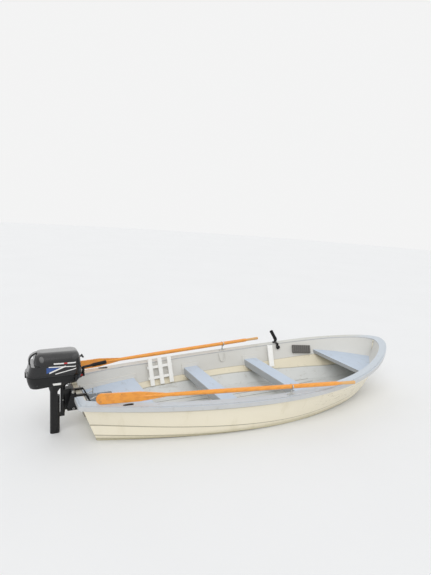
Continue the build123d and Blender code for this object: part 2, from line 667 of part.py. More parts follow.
def make_socket(y, z):
    """Plate and boss let into the rim, bored for the rowlock's pin."""
    plate = Pos(ROWLOCK_X, y, z - RIM_PLATE / 2) * extrude(SlotOverall(SOCKET_LENGTH, SOCKET_WIDTH),
                                                          amount=RIM_PLATE / 2 + SOCKET_PLATE)
    socket = plate - below_sheer(0)
    socket += cylinder(SOCKET_BOSS, (ROWLOCK_X, y, z - SOCKET_DEPTH), (ROWLOCK_X, y, z + SOCKET_PLATE))
    return socket - cylinder(PIN_RADIUS + PIN_GAP, (ROWLOCK_X, y, z - 100), (ROWLOCK_X, y, z + 100))


def make_rowlock(y, z, turn):
    """Pin with a shoulder and two horns round the oar."""
    horn_radius = LOOM_RADIUS + LOOM_GAP + HORN_ROD
    pin = cylinder(PIN_RADIUS, (ROWLOCK_X, y, z - SOCKET_DEPTH), (ROWLOCK_X, y, OAR_Z - horn_radius))
    low = z + SOCKET_PLATE + SEAT_GAP
    pin += cylinder(SHOULDER_RADIUS, (ROWLOCK_X, y, low), (ROWLOCK_X, y, low + SHOULDER_HEIGHT))
    hoop = Pos(ROWLOCK_X, y, OAR_Z) * Rot(0, 90, 0) * Torus(horn_radius, HORN_ROD)
    hoop -= box(ROWLOCK_X - horn_radius, ROWLOCK_X + horn_radius, y - 2 * horn_radius, y + 2 * horn_radius,
                OAR_Z + HORN_OPENING, OAR_Z + 3 * horn_radius)
    return pin + hoop.rotate(Axis((ROWLOCK_X, y, 0), (0, 0, 1)), turn)


def blade_half(from_tip):
    """Half the blade's width at a distance from its tip."""
    if from_tip < BLADE_END:
        return (BLADE_END**2 - (BLADE_END - from_tip) ** 2) ** 0.5
    narrow = BLADE_LENGTH - BLADE_TAPER
    wide, waist = BLADE_WIDTH / 2, BLADE_WAIST / 2
    return wide + (waist - wide) * (from_tip - BLADE_END) / (narrow - BLADE_END)


def make_oar(inboard):
    """Oar along X with its blade aft, upright, and the rowlock at the origin."""
    tip = inboard - OAR_LENGTH
    neck = tip + BLADE_LENGTH
    grip = inboard - GRIP_LENGTH
    profile = [(neck - SPINE_LENGTH, 0), (neck - SPINE_LENGTH, SPINE_RADIUS), (neck - 60, NECK_RADIUS),
               (neck + NECK_TAPER, LOOM_RADIUS), (grip - 40, LOOM_RADIUS), (grip, GRIP_RADIUS),
               (inboard - 8, GRIP_RADIUS + 2), (inboard, GRIP_RADIUS - 6), (inboard, 0)]
    face = make_face(Polyline([(x, 0, r) for x, r in profile], close=True))
    loom = revolve(face, axis=Axis((0, 0, 0), (1, 0, 0)))
    half = BLADE_WIDTH / 2
    root = NECK_RADIUS * 0.8
    upper = [(neck, 0, root), (neck - BLADE_TAPER, 0, BLADE_WAIST / 2), (tip + BLADE_END, 0, half)]
    lower = [(x, 0, -z) for x, _, z in reversed(upper)]
    round_end = ThreePointArc(upper[-1], (tip, 0, 0), lower[0])
    outline = [Line(*pair) for pair in zip(upper, upper[1:])] + [round_end]
    outline += [Line(*pair) for pair in zip(lower, lower[1:])] + [Line(lower[-1], upper[0])]
    blade = extrude(make_face(Wire(outline)), amount=BLADE_THICK / 2, both=True, dir=(0, 1, 0))
    return loom + blade


def make_clamps():
    """The two clamp arms on their tilt pin and rod, and the two clamp screws."""
    way = Vector(cos(radians(TRANSOM_RAKE)), 0, sin(radians(TRANSOM_RAKE)))
    top_z = NOTCH_Z + SEAT_GAP
    aft_top, aft_low = transom_x(top_z) - BOARD_THICK, transom_x(CLAMP_LOW_Z) - BOARD_THICK
    leg_low_z = SCREW_Z - 26
    leg_in, leg_out = CLAMP_LEG_GAP, CLAMP_LEG_GAP + CLAMP_LEG
    bridge_z = NOTCH_Z + CLAMP_BRIDGE
    outline = [(aft_top, top_z), (aft_low, CLAMP_LOW_Z), (-QUADRANT_AFT + 12, CLAMP_LOW_Z),
               (-QUADRANT_AFT, CLAMP_LOW_Z + 20), (-QUADRANT_AFT + 8, CLAMP_LOW_Z + 44),
               (TILT_X - 20, TILT_Z - 30), (TILT_X - 16, TILT_Z + 10), (TILT_X, TILT_Z + 16),
               (TILT_X + 18, TILT_Z + 8), (TILT_X + 34, bridge_z), (board_face(top_z) + leg_in, bridge_z),
               (board_face(top_z) + leg_out, NOTCH_Z - 20), (board_face(leg_low_z) + leg_out, leg_low_z),
               (board_face(leg_low_z) + leg_in, leg_low_z), (board_face(top_z) + leg_in, top_z)]
    holes = rod_holes()
    pins = ((TILT_PIN, (TILT_X, TILT_Z)), (ROD_RADIUS, ROD_PLACE))
    body, screws = [], []
    for side in (-1, 1):
        y = side * CLAMP_Y
        arm = side_plate(outline, CLAMP_WIDTH / 2).moved(Location((0, y, 0)))
        foot = Vector(board_face(SCREW_Z), y, SCREW_Z)
        arm -= cylinder(SCREW_RADIUS + PIN_GAP, foot, foot + way * SCREW_LENGTH)
        for x, z in holes:
            arm -= cylinder(ROD_RADIUS, (x, y - CLAMP_WIDTH, z), (x, y + CLAMP_WIDTH, z))
        for radius, (x, z) in pins:
            arm -= cylinder(radius + PIN_GAP, (x, y - CLAMP_WIDTH, z), (x, y + CLAMP_WIDTH, z))
        body.append(arm)
        screw = cylinder(SCREW_RADIUS, foot + way * 3, foot + way * SCREW_LENGTH)
        screw += cylinder(SCREW_FOOT_RADIUS, foot + way * SEAT_GAP, foot + way * 7)
        head = foot + way * (SCREW_LENGTH - 6)
        screw += cylinder(HANDLE_RADIUS, head - Vector(0, 0, HANDLE_HALF), head + Vector(0, 0, HANDLE_HALF))
        screws.append(screw)
    reach = CLAMP_Y + CLAMP_WIDTH / 2 + 6
    body += [cylinder(radius, (x, -reach, z), (x, reach, z)) for radius, (x, z) in pins]
    return {"clamp_bracket": Compound(body), "clamp_screws": Compound(screws)}


def rod_holes():
    """Spare holes for the rod, on an arc about the tilt pin."""
    rod_x, rod_z = ROD_PLACE
    radius = ((rod_x - TILT_X) ** 2 + (rod_z - TILT_Z) ** 2) ** 0.5
    angle = atan2(rod_x - TILT_X, TILT_Z - rod_z)
    turns = [angle + radians(ROD_HOLE_STEP) * step for step in (-2, -1, 1)]
    return [(TILT_X + radius * sin(turn), TILT_Z - radius * cos(turn)) for turn in turns]


def make_swivel():
    """Bracket that turns on the tilt pin and holds the steering tube."""
    rod_x, rod_z = ROD_PLACE
    swivel = cylinder(BARREL_RADIUS, (STEER_X, 0, BARREL_LOW_Z), (STEER_X, 0, BARREL_TOP_Z))
    swivel += cylinder(TILT_TUBE, (TILT_X, -TILT_TUBE_HALF, TILT_Z), (TILT_X, TILT_TUBE_HALF, TILT_Z))
    head = [(STEER_X, TILT_Z + 14), (STEER_X, TILT_Z - SWIVEL_HEAD_DROP), (TILT_X - 8, TILT_Z - TILT_TUBE + 2),
            (TILT_X + 4, TILT_Z), (TILT_X, TILT_Z + TILT_TUBE - 2)]
    swivel += side_plate(head, HEAD_HALF)
    stop_x = rod_x - ROD_RADIUS - SEAT_GAP
    web = [(STEER_X, BARREL_LOW_Z + 16), (stop_x, rod_z - 14), (stop_x, rod_z + 14), (TILT_X - 8, TILT_Z - TILT_TUBE),
           (STEER_X, TILT_Z)]
    swivel += side_plate(web, WEB_HALF)
    swivel -= cylinder(TILT_PIN + PIN_GAP, (TILT_X, -60, TILT_Z), (TILT_X, 60, TILT_Z))
    swivel -= cylinder(STEER_PIN + PIN_GAP, (STEER_X, 0, 100), (STEER_X, 0, 500))
    return {"swivel_bracket": swivel}


def slot_at(x, z, length, width):
    """Face with round ends, level at height z."""
    return Pos(x, 0, z) * SlotOverall(length, width)


def make_leg():
    """Leg under the motor's pan, cut away round the swivel bracket that it turns on."""
    leg = extrude(slot_at(LEG_X, PLATE_Z, LEG_LENGTH, LEG_WIDTH), amount=LEG_NECK_Z - PLATE_Z)
    head_x = LEG_X + (LEG_HEAD_LENGTH - LEG_LENGTH) / 2 - LEG_HEAD_BACK
    head = slot_at(head_x, LEG_HEAD_Z, LEG_HEAD_LENGTH, LEG_HEAD_WIDTH)
    leg += loft([slot_at(LEG_X, LEG_NECK_Z, LEG_LENGTH, LEG_WIDTH), head])
    leg += extrude(head, amount=LEG_HEAD_DEPTH)
    top_z = BARREL_TOP_Z + TURN_GAP
    leg -= cylinder(BARREL_RADIUS + TURN_GAP, (STEER_X, 0, BARREL_LOW_Z - TURN_GAP), (STEER_X, 0, top_z))
    swept = HEAD_HALF / cos(radians(STEER_LIMIT)) + TURN_GAP
    leg -= cylinder(swept, (STEER_X, 0, TILT_Z - SWIVEL_HEAD_DROP - TURN_GAP), (STEER_X, 0, top_z))
    leg -= box(STEER_X - TURN_GAP, TILT_X + LEG_LENGTH, -LEG_HEAD_WIDTH, LEG_HEAD_WIDTH, BARREL_LOW_Z, top_z)
    leg += box(LEG_X, STEER_X + LUG_HALF, -LUG_HALF, LUG_HALF, BARREL_LOW_Z - LUG_HEIGHT, BARREL_LOW_Z - PIN_FACE_GAP)
    leg += cylinder(STEER_PIN, (STEER_X, 0, BARREL_LOW_Z - LUG_HEIGHT), (STEER_X, 0, LEG_HEAD_Z))
    return {"drive_leg": leg - cowl_form(PAN_LINES, 0)}


def make_gearcase():
    """Cavitation plate, strut, torpedo, skeg and trim tab, with the propeller's shaft."""
    hub_front = PROP_X + HUB_LENGTH / 2 + PIN_FACE_GAP
    plate = Pos(LEG_X - PLATE_BACK, 0, PLATE_Z - PLATE_THICK) * extrude(SlotOverall(PLATE_LENGTH, PLATE_WIDTH),
                                                                       amount=PLATE_THICK)
    nose_x, tip_x = hub_front + TORPEDO_LENGTH - TORPEDO_NOSE, hub_front + TORPEDO_LENGTH
    flank = Polyline([(hub_front, 0, 0), (hub_front, TORPEDO_RADIUS - 4, 0), (nose_x, TORPEDO_RADIUS, 0)])
    middle = (nose_x + TORPEDO_NOSE * 0.62, TORPEDO_RADIUS * 0.72, 0)
    nose = ThreePointArc((nose_x, TORPEDO_RADIUS, 0), middle, (tip_x, NOSE_FLAT, 0))
    close = Polyline([(tip_x, NOSE_FLAT, 0), (tip_x, 0, 0), (hub_front, 0, 0)])
    torpedo = revolve(make_face(Wire(list(flank.edges()) + [nose] + list(close.edges()))), axis=Axis.X)
    strut_z, skeg_z = PROP_Z + TORPEDO_RADIUS / 4, PROP_Z - TORPEDO_RADIUS / 4
    strut = extrude(slot_at(LEG_X, strut_z, LEG_LENGTH + 20, STRUT_WIDTH), amount=PLATE_Z - PLATE_THICK - strut_z)
    skeg = side_plate([(LEG_X + 50, skeg_z), (LEG_X - 10, SKEG_Z), (LEG_X - 62, SKEG_Z), (LEG_X - 50, skeg_z)],
                      SKEG_THICK / 2)
    gear = plate + torpedo.moved(Location((0, 0, PROP_Z))) + strut + skeg
    tab_x = LEG_X - PLATE_BACK - PLATE_LENGTH / 2 + TAB_TAPER
    tab_top, tab_low = PLATE_Z - PLATE_THICK / 2, PLATE_Z - TAB_DEPTH
    tab = [(tab_x, tab_top), (tab_x + TAB_LENGTH, tab_top), (tab_x + TAB_LENGTH - TAB_TAPER, tab_low),
           (tab_x + TAB_TAPER, tab_low)]
    gear += side_plate(tab, TAB_HALF)
    shaft_end = PROP_X - HUB_LENGTH / 2 - SHAFT_END
    gear += cylinder(SHAFT_RADIUS, (shaft_end, 0, PROP_Z), (PROP_X + HUB_LENGTH, 0, PROP_Z))
    return {"gearcase": gear}


def make_propeller():
    prop = cylinder(HUB_RADIUS, (PROP_X - HUB_LENGTH / 2, 0, PROP_Z), (PROP_X + HUB_LENGTH / 2, 0, PROP_Z))
    sections = [Pos(0, 0, radius) * Rot(0, 0, pitch) * Ellipse(chord / 2, thick / 2)
                for radius, chord, thick, pitch in PROP_LINES]
    blade = loft(sections)
    for i in range(BLADE_COUNT):
        prop += Pos(PROP_X, 0, PROP_Z) * Rot(i * 360 / BLADE_COUNT, 0, 0) * blade
    prop -= cylinder(SHAFT_RADIUS + PIN_GAP, (PROP_X - 100, 0, PROP_Z), (PROP_X + 100, 0, PROP_Z))
    return {"propeller": prop}


def cowl_form(lines, inset, lift=0.0):
    """Rounded form through the sections of a table, shrunk by inset and moved up by lift."""
    faces = []
    for z, aft, front, half, slope in lines:
        outline = RectangleRounded(front - aft - 2 * inset, 2 * (half - inset), COWL_CORNER * (half - inset))
        faces.append(Pos((aft + front) / 2, 0, z + lift) * Rot(0, -slope, 0) * outline)
    return loft(faces)


def make_cowls():
    parts = {}
    pan_top = PAN_LINES[-1][0]
    side_low = SIDE_LINES[0][0]
    pan = cowl_form(PAN_LINES, 0)
    hollow = cowl_form(PAN_LINES, COWL_WALL) & box(-500, 200, -200, 200, PAN_FLOOR_Z, pan_top + 1)
    parts["bottom_cowl"] = pan - hollow
    outer = cowl_form(SIDE_LINES, 0) + cowl_form(CROWN_LINES, 0)
    outer += cowl_band(side_low, side_low + COWL_LIP_HEIGHT, -COWL_LIP)
    inner = cowl_form(SIDE_LINES, COWL_WALL, -1.0) + cowl_form(CROWN_LINES, COWL_WALL, -COWL_WALL)
    parts["top_cowl"] = outer - inner + make_grip()
    parts["cowl_seal"] = cowl_band(pan_top, side_low, SEAL_INSET) - cowl_band(pan_top - 1, side_low + 1,
                                                                             SEAL_INSET + SEAL_WIDTH)
    parts["engine_block"] = box(BLOCK_AFT, BLOCK_FRONT, -BLOCK_HALF, BLOCK_HALF, PAN_FLOOR_Z, BLOCK_TOP_Z)
    return parts


def cowl_band(low_z, high_z, inset):
    """Straight band round the seam between the cowls."""
    return cowl_form([(z,) + SIDE_LINES[0][1:] for z in (low_z, high_z)], inset)


def make_grip():
    """Lifting strap over the step at the cowl's aft top corner."""
    outer = ThreePointArc(*[(x, 0, z) for x, z in GRIP_OUTSIDE])
    inner = ThreePointArc(*[(x, 0, z) for x, z in GRIP_INSIDE])
    face = make_face(Wire([outer, Line(outer @ 1, inner @ 0), inner, Line(inner @ 1, outer @ 0)]))
    return extrude(face, amount=GRIP_HALF, both=True, dir=(0, 1, 0))


def make_tiller():
    pan = cowl_form(PAN_LINES, 0)
    way = Vector(cos(radians(TILLER_RISE)), 0, sin(radians(TILLER_RISE)))
    arm = box(0, TILLER_X + 12, -20, 20, TILLER_ROOT_LOW_Z, TILLER_ROOT_TOP_Z) - pan
    arm += cylinder(14, (TILLER_X, 0, TILLER_ROOT_LOW_Z), (TILLER_X, 0, TILLER_Z + 6))
    joint = Vector(TILLER_X, 0, TILLER_Z)
    arm += cylinder(12, joint, joint + way * TILLER_ARM)
    start = joint + way * (TILLER_ARM + SEAT_GAP)
    parts = {"tiller_arm": arm}
    parts["tiller_grip"] = cylinder(TILLER_GRIP_RADIUS, start, start + way * TILLER_GRIP)
    return parts


def make_controls():
    """Small hand controls on the motor."""
    parts = {}
    bar_x = SIDE_LINES[-1][2] + STARTER_REACH
    half = STARTER_STEM / 2
    grip = box(bar_x - STARTER_REACH - COWL_WALL, bar_x, -half, half, STARTER_Z - half, STARTER_Z + half)
    grip += cylinder(STARTER_BAR, (bar_x, -STARTER_HALF, STARTER_Z), (bar_x, STARTER_HALF, STARTER_Z))
    parts["starter_handle"] = grip - cowl_form(SIDE_LINES, 0)
    pan = cowl_form(PAN_LINES, 0)
    y, z = SWITCH_PLACE
    collar_x = SWITCH_X - SWITCH_BUTTON
    switch = cylinder(SWITCH_RADIUS, (PAN_LINES[0][2], y, z), (collar_x, y, z))
    switch += cylinder(SWITCH_RADIUS * 0.64, (collar_x, y, z), (SWITCH_X, y, z))
    parts["kill_switch"] = switch - pan
    side = -PAN_LINES[1][3] - LEVER_PROUD
    lever = cylinder(LEVER_HUB, (LEVER_X, side, LEVER_Z), (LEVER_X, side + 4 * LEVER_PROUD, LEVER_Z))
    lever += box(LEVER_X - 6, LEVER_X + 6, side, side + LEVER_THICK, LEVER_Z - LEVER_HUB, LEVER_Z + LEVER_TALL)
    knob_z = LEVER_Z + LEVER_TALL
    lever += box(LEVER_X - 8, LEVER_X + 8, side - LEVER_PROUD, side + LEVER_THICK, knob_z - 6, knob_z + 10)
    parts["shift_lever"] = lever - pan
    aft = SIDE_LINES[0][1] - COWL_LIP
    foot_z = PAN_LINES[-1][0] - LATCH_DROP
    latch = box(aft - LATCH_THICK, aft - SEAT_GAP, -LATCH_HALF, LATCH_HALF, foot_z, SIDE_LINES[0][0] + LATCH_HALF)
    latch += box(aft - LATCH_THICK, aft + LATCH_DROP, -LATCH_HALF, LATCH_HALF, foot_z, foot_z + 12)
    parts["cowl_latch"] = latch - pan
    return parts


if __name__ == "__main__":
    os.makedirs("parts", exist_ok=True)
    groups = (make_hull, make_seats, make_fittings, make_wall_pieces, make_rod_holder, make_rowing_gear,
              make_clamps, make_swivel, make_leg, make_gearcase, make_propeller, make_cowls, make_tiller,
              make_controls)
    for group in groups:
        for name, shape in group().items():
            export_step(shape, f"parts/{name}.step")
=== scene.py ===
import math

import bmesh
import bpy
from mathutils import Matrix, Vector


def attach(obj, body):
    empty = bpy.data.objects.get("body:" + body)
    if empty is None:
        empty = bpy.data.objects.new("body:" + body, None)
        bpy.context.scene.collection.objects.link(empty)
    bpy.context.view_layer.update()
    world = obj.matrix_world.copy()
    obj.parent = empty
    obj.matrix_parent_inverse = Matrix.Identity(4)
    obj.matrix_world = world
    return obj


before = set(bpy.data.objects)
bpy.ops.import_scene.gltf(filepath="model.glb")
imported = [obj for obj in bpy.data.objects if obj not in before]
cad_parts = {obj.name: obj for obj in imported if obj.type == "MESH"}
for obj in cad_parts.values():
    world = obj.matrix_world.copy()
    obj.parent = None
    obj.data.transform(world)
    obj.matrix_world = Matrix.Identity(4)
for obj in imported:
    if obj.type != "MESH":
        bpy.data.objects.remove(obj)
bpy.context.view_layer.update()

# Looks of the dinghy and its outboard motor, in metres, in the model's own frame:
# origin on the waterline, X to the bow, Y to port, Z up.

# Lines of the boat that the small fittings follow
LENGTH = 4.0
BEAM = 1.58
# share of the length, share of the half-beam at the rim's outer edge
RIM_STATIONS = ((0.0, 0.513), (0.0875, 0.648), (0.225, 0.813), (0.4, 0.953), (0.575, 1.0),
                (0.725, 0.93), (0.8375, 0.755), (0.9125, 0.538), (0.9625, 0.332), (0.9875, 0.177),
                (1.0, 0.02))
RIM_LOW = 0.369                               # height of the rim where it is lowest
RIM_LOW_X = 0.41 * LENGTH
STERN_RISE = 0.049                            # sheer from there to the stern and to the bow
BOW_RISE = 0.244
BOW_POWER = 2.4
RIM_DEPTH = 0.046
LINER_FOOT = (0.764 * BEAM / 2, 0.174)        # half-breadth and height of the liner wall's foot
LINER_TOP = 0.850 * BEAM / 2                  # half-breadth of its top
ROWLOCK_X = 2.0
ROWLOCK_INSET = 0.044
ROWLOCK_PLATE = 0.007
CLEAT_X = 0.41
CLEAT_INSET = 0.050
CLEAT_PLATE = 0.005
TILT_PIN = (0.008, 0.414)
TILT_ROD = (0.0145, 0.250)
ARM_FACE = 0.0850                             # outer faces of the clamp arms, off the centreline
LEG_X = -0.138
PROP_SHAFT = (-0.222, -0.198)
TILLER_RISE = math.radians(7.5)
TILLER_HINGE = (0.110, 0, 0.610)
TRANSOM_RAKE = math.radians(22.0)
THROUGH_BOARD = Vector((math.cos(TRANSOM_RAKE), 0, math.sin(TRANSOM_RAKE)))
BOARD_OUT = 0.012 / math.cos(TRANSOM_RAKE)    # outer board's face, aft of the transom's
BOARD_IN = 0.074                              # inner board's face, ahead of the same face
HOLDER_X = 2.795
SCREW_PLACE = (0.072, 0.300)                  # clamp screws' distance off the centreline, height
GROOVE_PITCH = 0.092
# stripes on the cowl's sides: height at x = 0, rise per metre forwards
STRIPE_LINES = ((0.681, -0.054), (0.713, 0.372), (0.654, 0.191), (0.714, -0.020))
# place along the boat, height of the liner wall's foot, height of the bilge's lower edge
LINER_FEET = ((0.0, 0.175, 0.110), (0.35, 0.180, 0.110), (0.90, 0.185, 0.130),
              (1.60, 0.172, 0.115), (2.30, 0.175, 0.115), (2.90, 0.240, 0.135),
              (3.28, 0.290, 0.165), (3.40, 0.320, 0.180), (3.90, 0.320, 0.280))


def rim_height(x):
    """Height of the rim's top at x."""
    if x < RIM_LOW_X:
        return RIM_LOW + STERN_RISE * ((RIM_LOW_X - x) / RIM_LOW_X) ** 2
    return RIM_LOW + BOW_RISE * ((x - RIM_LOW_X) / (LENGTH - RIM_LOW_X)) ** BOW_POWER


def rim_half(x):
    """Half-breadth of the rim's outer edge at x."""
    rows = [(station * LENGTH, share * BEAM / 2) for station, share in RIM_STATIONS]
    for (x0, y0), (x1, y1) in zip(rows, rows[1:]):
        if x <= x1:
            return y0 + (y1 - y0) * (x - x0) / (x1 - x0)
    return rows[-1][1]


def transom_x(z):
    """Where the outer face of the transom lies at height z."""
    return 0.018 + math.tan(TRANSOM_RAKE) * (rim_height(0) - z)


def touch(node, start, way):
    """Place and outward direction where a ray meets one of the model's own pieces."""
    found, place, normal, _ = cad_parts[node].ray_cast(Vector(start), Vector(way).normalized())
    return (place, normal) if found else (None, None)


def rim_ledge(x, side):
    """Middle of the ledge outside the rim's raised flange at x."""
    z = rim_height(x)
    flange, _ = touch("gunwale_rim", (x, side * 1.2, z - 0.003), (0, -side, 0))
    edge, _ = touch("gunwale_rim", (x, side * 1.2, z - 0.012), (0, -side, 0))
    if flange is None or edge is None:
        return None
    y = (flange.y + edge.y) / 2
    place, _ = touch("gunwale_rim", (x, y, z + 0.1), (0, 0, -1))
    return place


def strake_heights(x):
    """Heights of the three ledges on the hull's side at x, highest first."""
    step = 0.001
    least_jump = 0.0022
    least_gap = 0.006
    heights = []
    z = rim_height(x) - 0.055
    last = None
    while z > -0.12 and len(heights) < 3:
        place, _ = touch("hull_shell", (x, -1.0, z), (0, 1, 0))
        if place is None:
            break
        jumped = last is not None and place.y - last > least_jump
        if jumped and (not heights or heights[-1] - z > least_gap):
            heights.append(z + step / 2)
        last = place.y
        z -= step
    return heights


# Shader maths written as Python expressions
def paint(red, green, blue):
    """Linear colour of a paint given in display values from 0 to 255."""
    linear = []
    for value in (red, green, blue):
        share = value / 255
        linear.append(share / 12.92 if share <= 0.04045 else ((share + 0.055) / 1.055) ** 2.4)
    return (*linear, 1.0)


class Field:
    """A number that changes over a surface. Its operators add Math nodes."""

    def __init__(self, finish, socket):
        self.finish = finish
        self.socket = socket

    def _math(self, operation, first, second):
        return self.finish.node("ShaderNodeMath", {"operation": operation}, {0: first, 1: second})

    def __add__(self, other): return self._math("ADD", self, other)
    def __radd__(self, other): return self._math("ADD", other, self)
    def __sub__(self, other): return self._math("SUBTRACT", self, other)
    def __rsub__(self, other): return self._math("SUBTRACT", other, self)
    def __mul__(self, other): return self._math("MULTIPLY", self, other)
    def __rmul__(self, other): return self._math("MULTIPLY", other, self)
    def __truediv__(self, other): return self._math("DIVIDE", self, other)
    def __rtruediv__(self, other): return self._math("DIVIDE", other, self)
    def __pow__(self, other): return self._math("POWER", self, other)
    def __abs__(self): return self._math("ABSOLUTE", self, 0.0)

    def most(self, other): return self._math("MAXIMUM", self, other)
    def part(self): return self._math("FRACT", self, 0.0)


class Finish:
    """A material made of one glossy or matt shader and the fields that feed it."""

    def __init__(self, name, **fixed):
        self.material = bpy.data.materials.new(name)
        self.material.use_nodes = True
        self.tree = self.material.node_tree
        self.shader = self.tree.nodes["Principled BSDF"]
        for label, value in fixed.items():
            self.shader.inputs[label.replace("_", " ")].default_value = value

    def node(self, kind, settings=None, inputs=None, output=0):
        """Adds a node, sets its settings, then the values or links of its sockets."""
        made = self.tree.nodes.new(kind)
        for label, value in (settings or {}).items():
            if label == "stops":
                self._stops(made.color_ramp, value)
            else:
                setattr(made, label, value)
        for key, value in (inputs or {}).items():
            if isinstance(value, Field):
                self.tree.links.new(value.socket, made.inputs[key])
            elif value is not None:
                made.inputs[key].default_value = value
        return Field(self, made.outputs[output])

    @staticmethod
    def _stops(ramp, stops):
        while len(ramp.elements) < len(stops):
            ramp.elements.new(0.5)
        for element, (position, colour) in zip(ramp.elements, stops):
            element.position = position
            element.color = colour

    def place(self):
        """Object coordinates."""
        return self.node("ShaderNodeTexCoord", output="Object")

    def axes(self):
        """Object coordinates as three numbers."""
        split = self.node("ShaderNodeSeparateXYZ", inputs={0: self.place()})
        outputs = split.socket.node.outputs
        return Field(self, outputs[0]), Field(self, outputs[1]), Field(self, outputs[2])

    def facing(self):
        """The surface's direction as three numbers."""
        normal = self.node("ShaderNodeNewGeometry", output="Normal")
        split = self.node("ShaderNodeSeparateXYZ", inputs={0: normal})
        outputs = split.socket.node.outputs
        return Field(self, outputs[0]), Field(self, outputs[1]), Field(self, outputs[2])

    def stretched(self, scale, turn=0.0):
        """Object coordinates turned about Z and scaled along each axis."""
        return self.node("ShaderNodeMapping", inputs={"Vector": self.place(),
                                                      "Rotation": (0.0, 0.0, turn), "Scale": scale})

    def cloud(self, scale, detail=4.0, rough=0.55, along=None):
        """Soft noise from 0 to 1."""
        return self.node("ShaderNodeTexNoise",
                         inputs={"Vector": along or self.place(), "Scale": scale, "Detail": detail,
                                 "Roughness": rough})

    def cells(self, scale, output="Distance", along=None):
        """Cell pattern."""
        return self.node("ShaderNodeTexVoronoi",
                         inputs={"Vector": along or self.place(), "Scale": scale}, output=output)

    def profile(self, field, length, rows, low, high):
        """Three values along the field, from rows of (distance, first, second, third)."""
        stops = []
        for distance, *values in rows:
            shares = [(value - low) / (high - low) for value in (values + [low, low])[:3]]
            stops.append((distance / length, (*shares, 1.0)))
        ramp = self.node("ShaderNodeValToRGB", {"stops": stops}, {0: field / length})
        split = self.node("ShaderNodeSeparateColor", inputs={0: ramp})
        outputs = split.socket.node.outputs
        return [Field(self, outputs[i]) * (high - low) + low for i in range(3)]

    def rise(self, field, low, high):
        """0 below low, 1 above high, smooth between."""
        return self.node("ShaderNodeMapRange", {"interpolation_type": "SMOOTHSTEP"},
                         {"Value": field, "From Min": low, "From Max": high})

    def band(self, field, low, high, soft):
        """1 between low and high, 0 outside."""
        return self.rise(field, low - soft, low) * (1.0 - self.rise(field, high, high + soft))

    def blend(self, share, first, second):
        """Mixes two colours."""
        made = self.tree.nodes.new("ShaderNodeMix")
        made.data_type = "RGBA"
        made.clamp_factor = True
        sockets = (made.inputs[0], made.inputs[6], made.inputs[7])
        for socket, value in zip(sockets, (share, first, second)):
            if isinstance(value, Field):
                self.tree.links.new(value.socket, socket)
            else:
                socket.default_value = value
        return Field(self, made.outputs[2])

    def bump(self, height, distance, strength=0.5, over=None):
        """Turns a height in shares of distance into relief."""
        return self.node("ShaderNodeBump", inputs={"Height": height, "Distance": distance,
                                                   "Strength": strength, "Normal": over})

    def feed(self, **fields):
        """Connects fields or fixed values to the shader."""
        for label, value in fields.items():
            socket = self.shader.inputs[label.replace("_", " ")]
            if isinstance(value, Field):
                self.tree.links.new(value.socket, socket)
            else:
                socket.default_value = value
        return self.material


# Finishes of the hull
def cream_gelcoat():
    """Aged cream gelcoat: stain at the waterline, scuffs and faint chalking."""
    coat = Finish("cream_gelcoat", Coat_Roughness=0.18, Specular_IOR_Level=0.45)
    x, _, z = coat.axes()
    mottle = coat.cloud(3.0, 5.0)
    fine = coat.cloud(38.0, 6.0, 0.6)
    runs = coat.cloud(5.0, 5.0, 0.6, coat.stretched((1.2, 1.2, 0.12)))
    colour = coat.blend(mottle * 0.55, paint(242, 235, 215), paint(233, 224, 200))
    colour = coat.blend(coat.rise(runs, 0.56, 0.72) * 0.26, colour, paint(210, 199, 166))
    first, last, steps = 0.06, 3.76, 27
    rows = []
    for i in range(steps + 1):
        station = first + i * (last - first) / steps
        heights = strake_heights(station)
        if len(heights) == 3:
            rows.append((station, *heights))
    shadow = 0.0
    for ledge in coat.profile(x, LENGTH, rows, -0.3, 0.6):
        shadow = coat.band(z - ledge, -0.012, -0.001, 0.002).most(shadow)
    colour = coat.blend(shadow * 0.62, colour, paint(112, 104, 84))
    aft = ((RIM_LOW_X - x) / RIM_LOW_X).most(0.0) ** 2.0
    fore = ((x - RIM_LOW_X) / (LENGTH - RIM_LOW_X)).most(0.0) ** BOW_POWER
    under_rim = z - (aft * STERN_RISE + fore * BOW_RISE + (RIM_LOW - RIM_DEPTH))
    shade = coat.band(under_rim, -0.018, 0.001, 0.005)
    colour = coat.blend(shade * 0.42, colour, paint(118, 112, 96))
    stain = (1.0 - coat.rise(z + (fine - 0.5) * 0.02, 0.012, 0.075)) * 0.55
    colour = coat.blend(stain, colour, paint(176, 168, 128))
    slime = 1.0 - coat.rise(z + (fine - 0.5) * 0.02, -0.02, 0.012)
    colour = coat.blend(slime * 0.6, colour, paint(120, 121, 84))
    rubbed = coat.cloud(9.0, 8.0, 0.72, coat.stretched((1.0, 1.0, 5.0)))
    place = coat.band(x, 2.45, 3.1, 0.12) * coat.band(z, 0.16, 0.30, 0.04)
    scuff = coat.rise(rubbed, 0.575, 0.60) * (1.0 - coat.rise(rubbed, 0.61, 0.64)) * place
    colour = coat.blend(scuff * 0.55, colour, paint(150, 138, 112))
    marks = coat.rise(coat.cloud(14.0, 9.0, 0.75, coat.stretched((1.0, 1.0, 7.0))), 0.66, 0.70)
    colour = coat.blend(marks * 0.22, colour, paint(168, 158, 132))
    waves = coat.bump(mottle, 0.004, 0.25)
    return coat.feed(Base_Color=colour, Roughness=0.30 + fine * 0.16 + scuff * 0.2,
                     Coat_Weight=0.35 - coat.rise(fine, 0.4, 0.7) * 0.12,
                     Normal=coat.bump(fine, 0.0006, 0.2, waves))


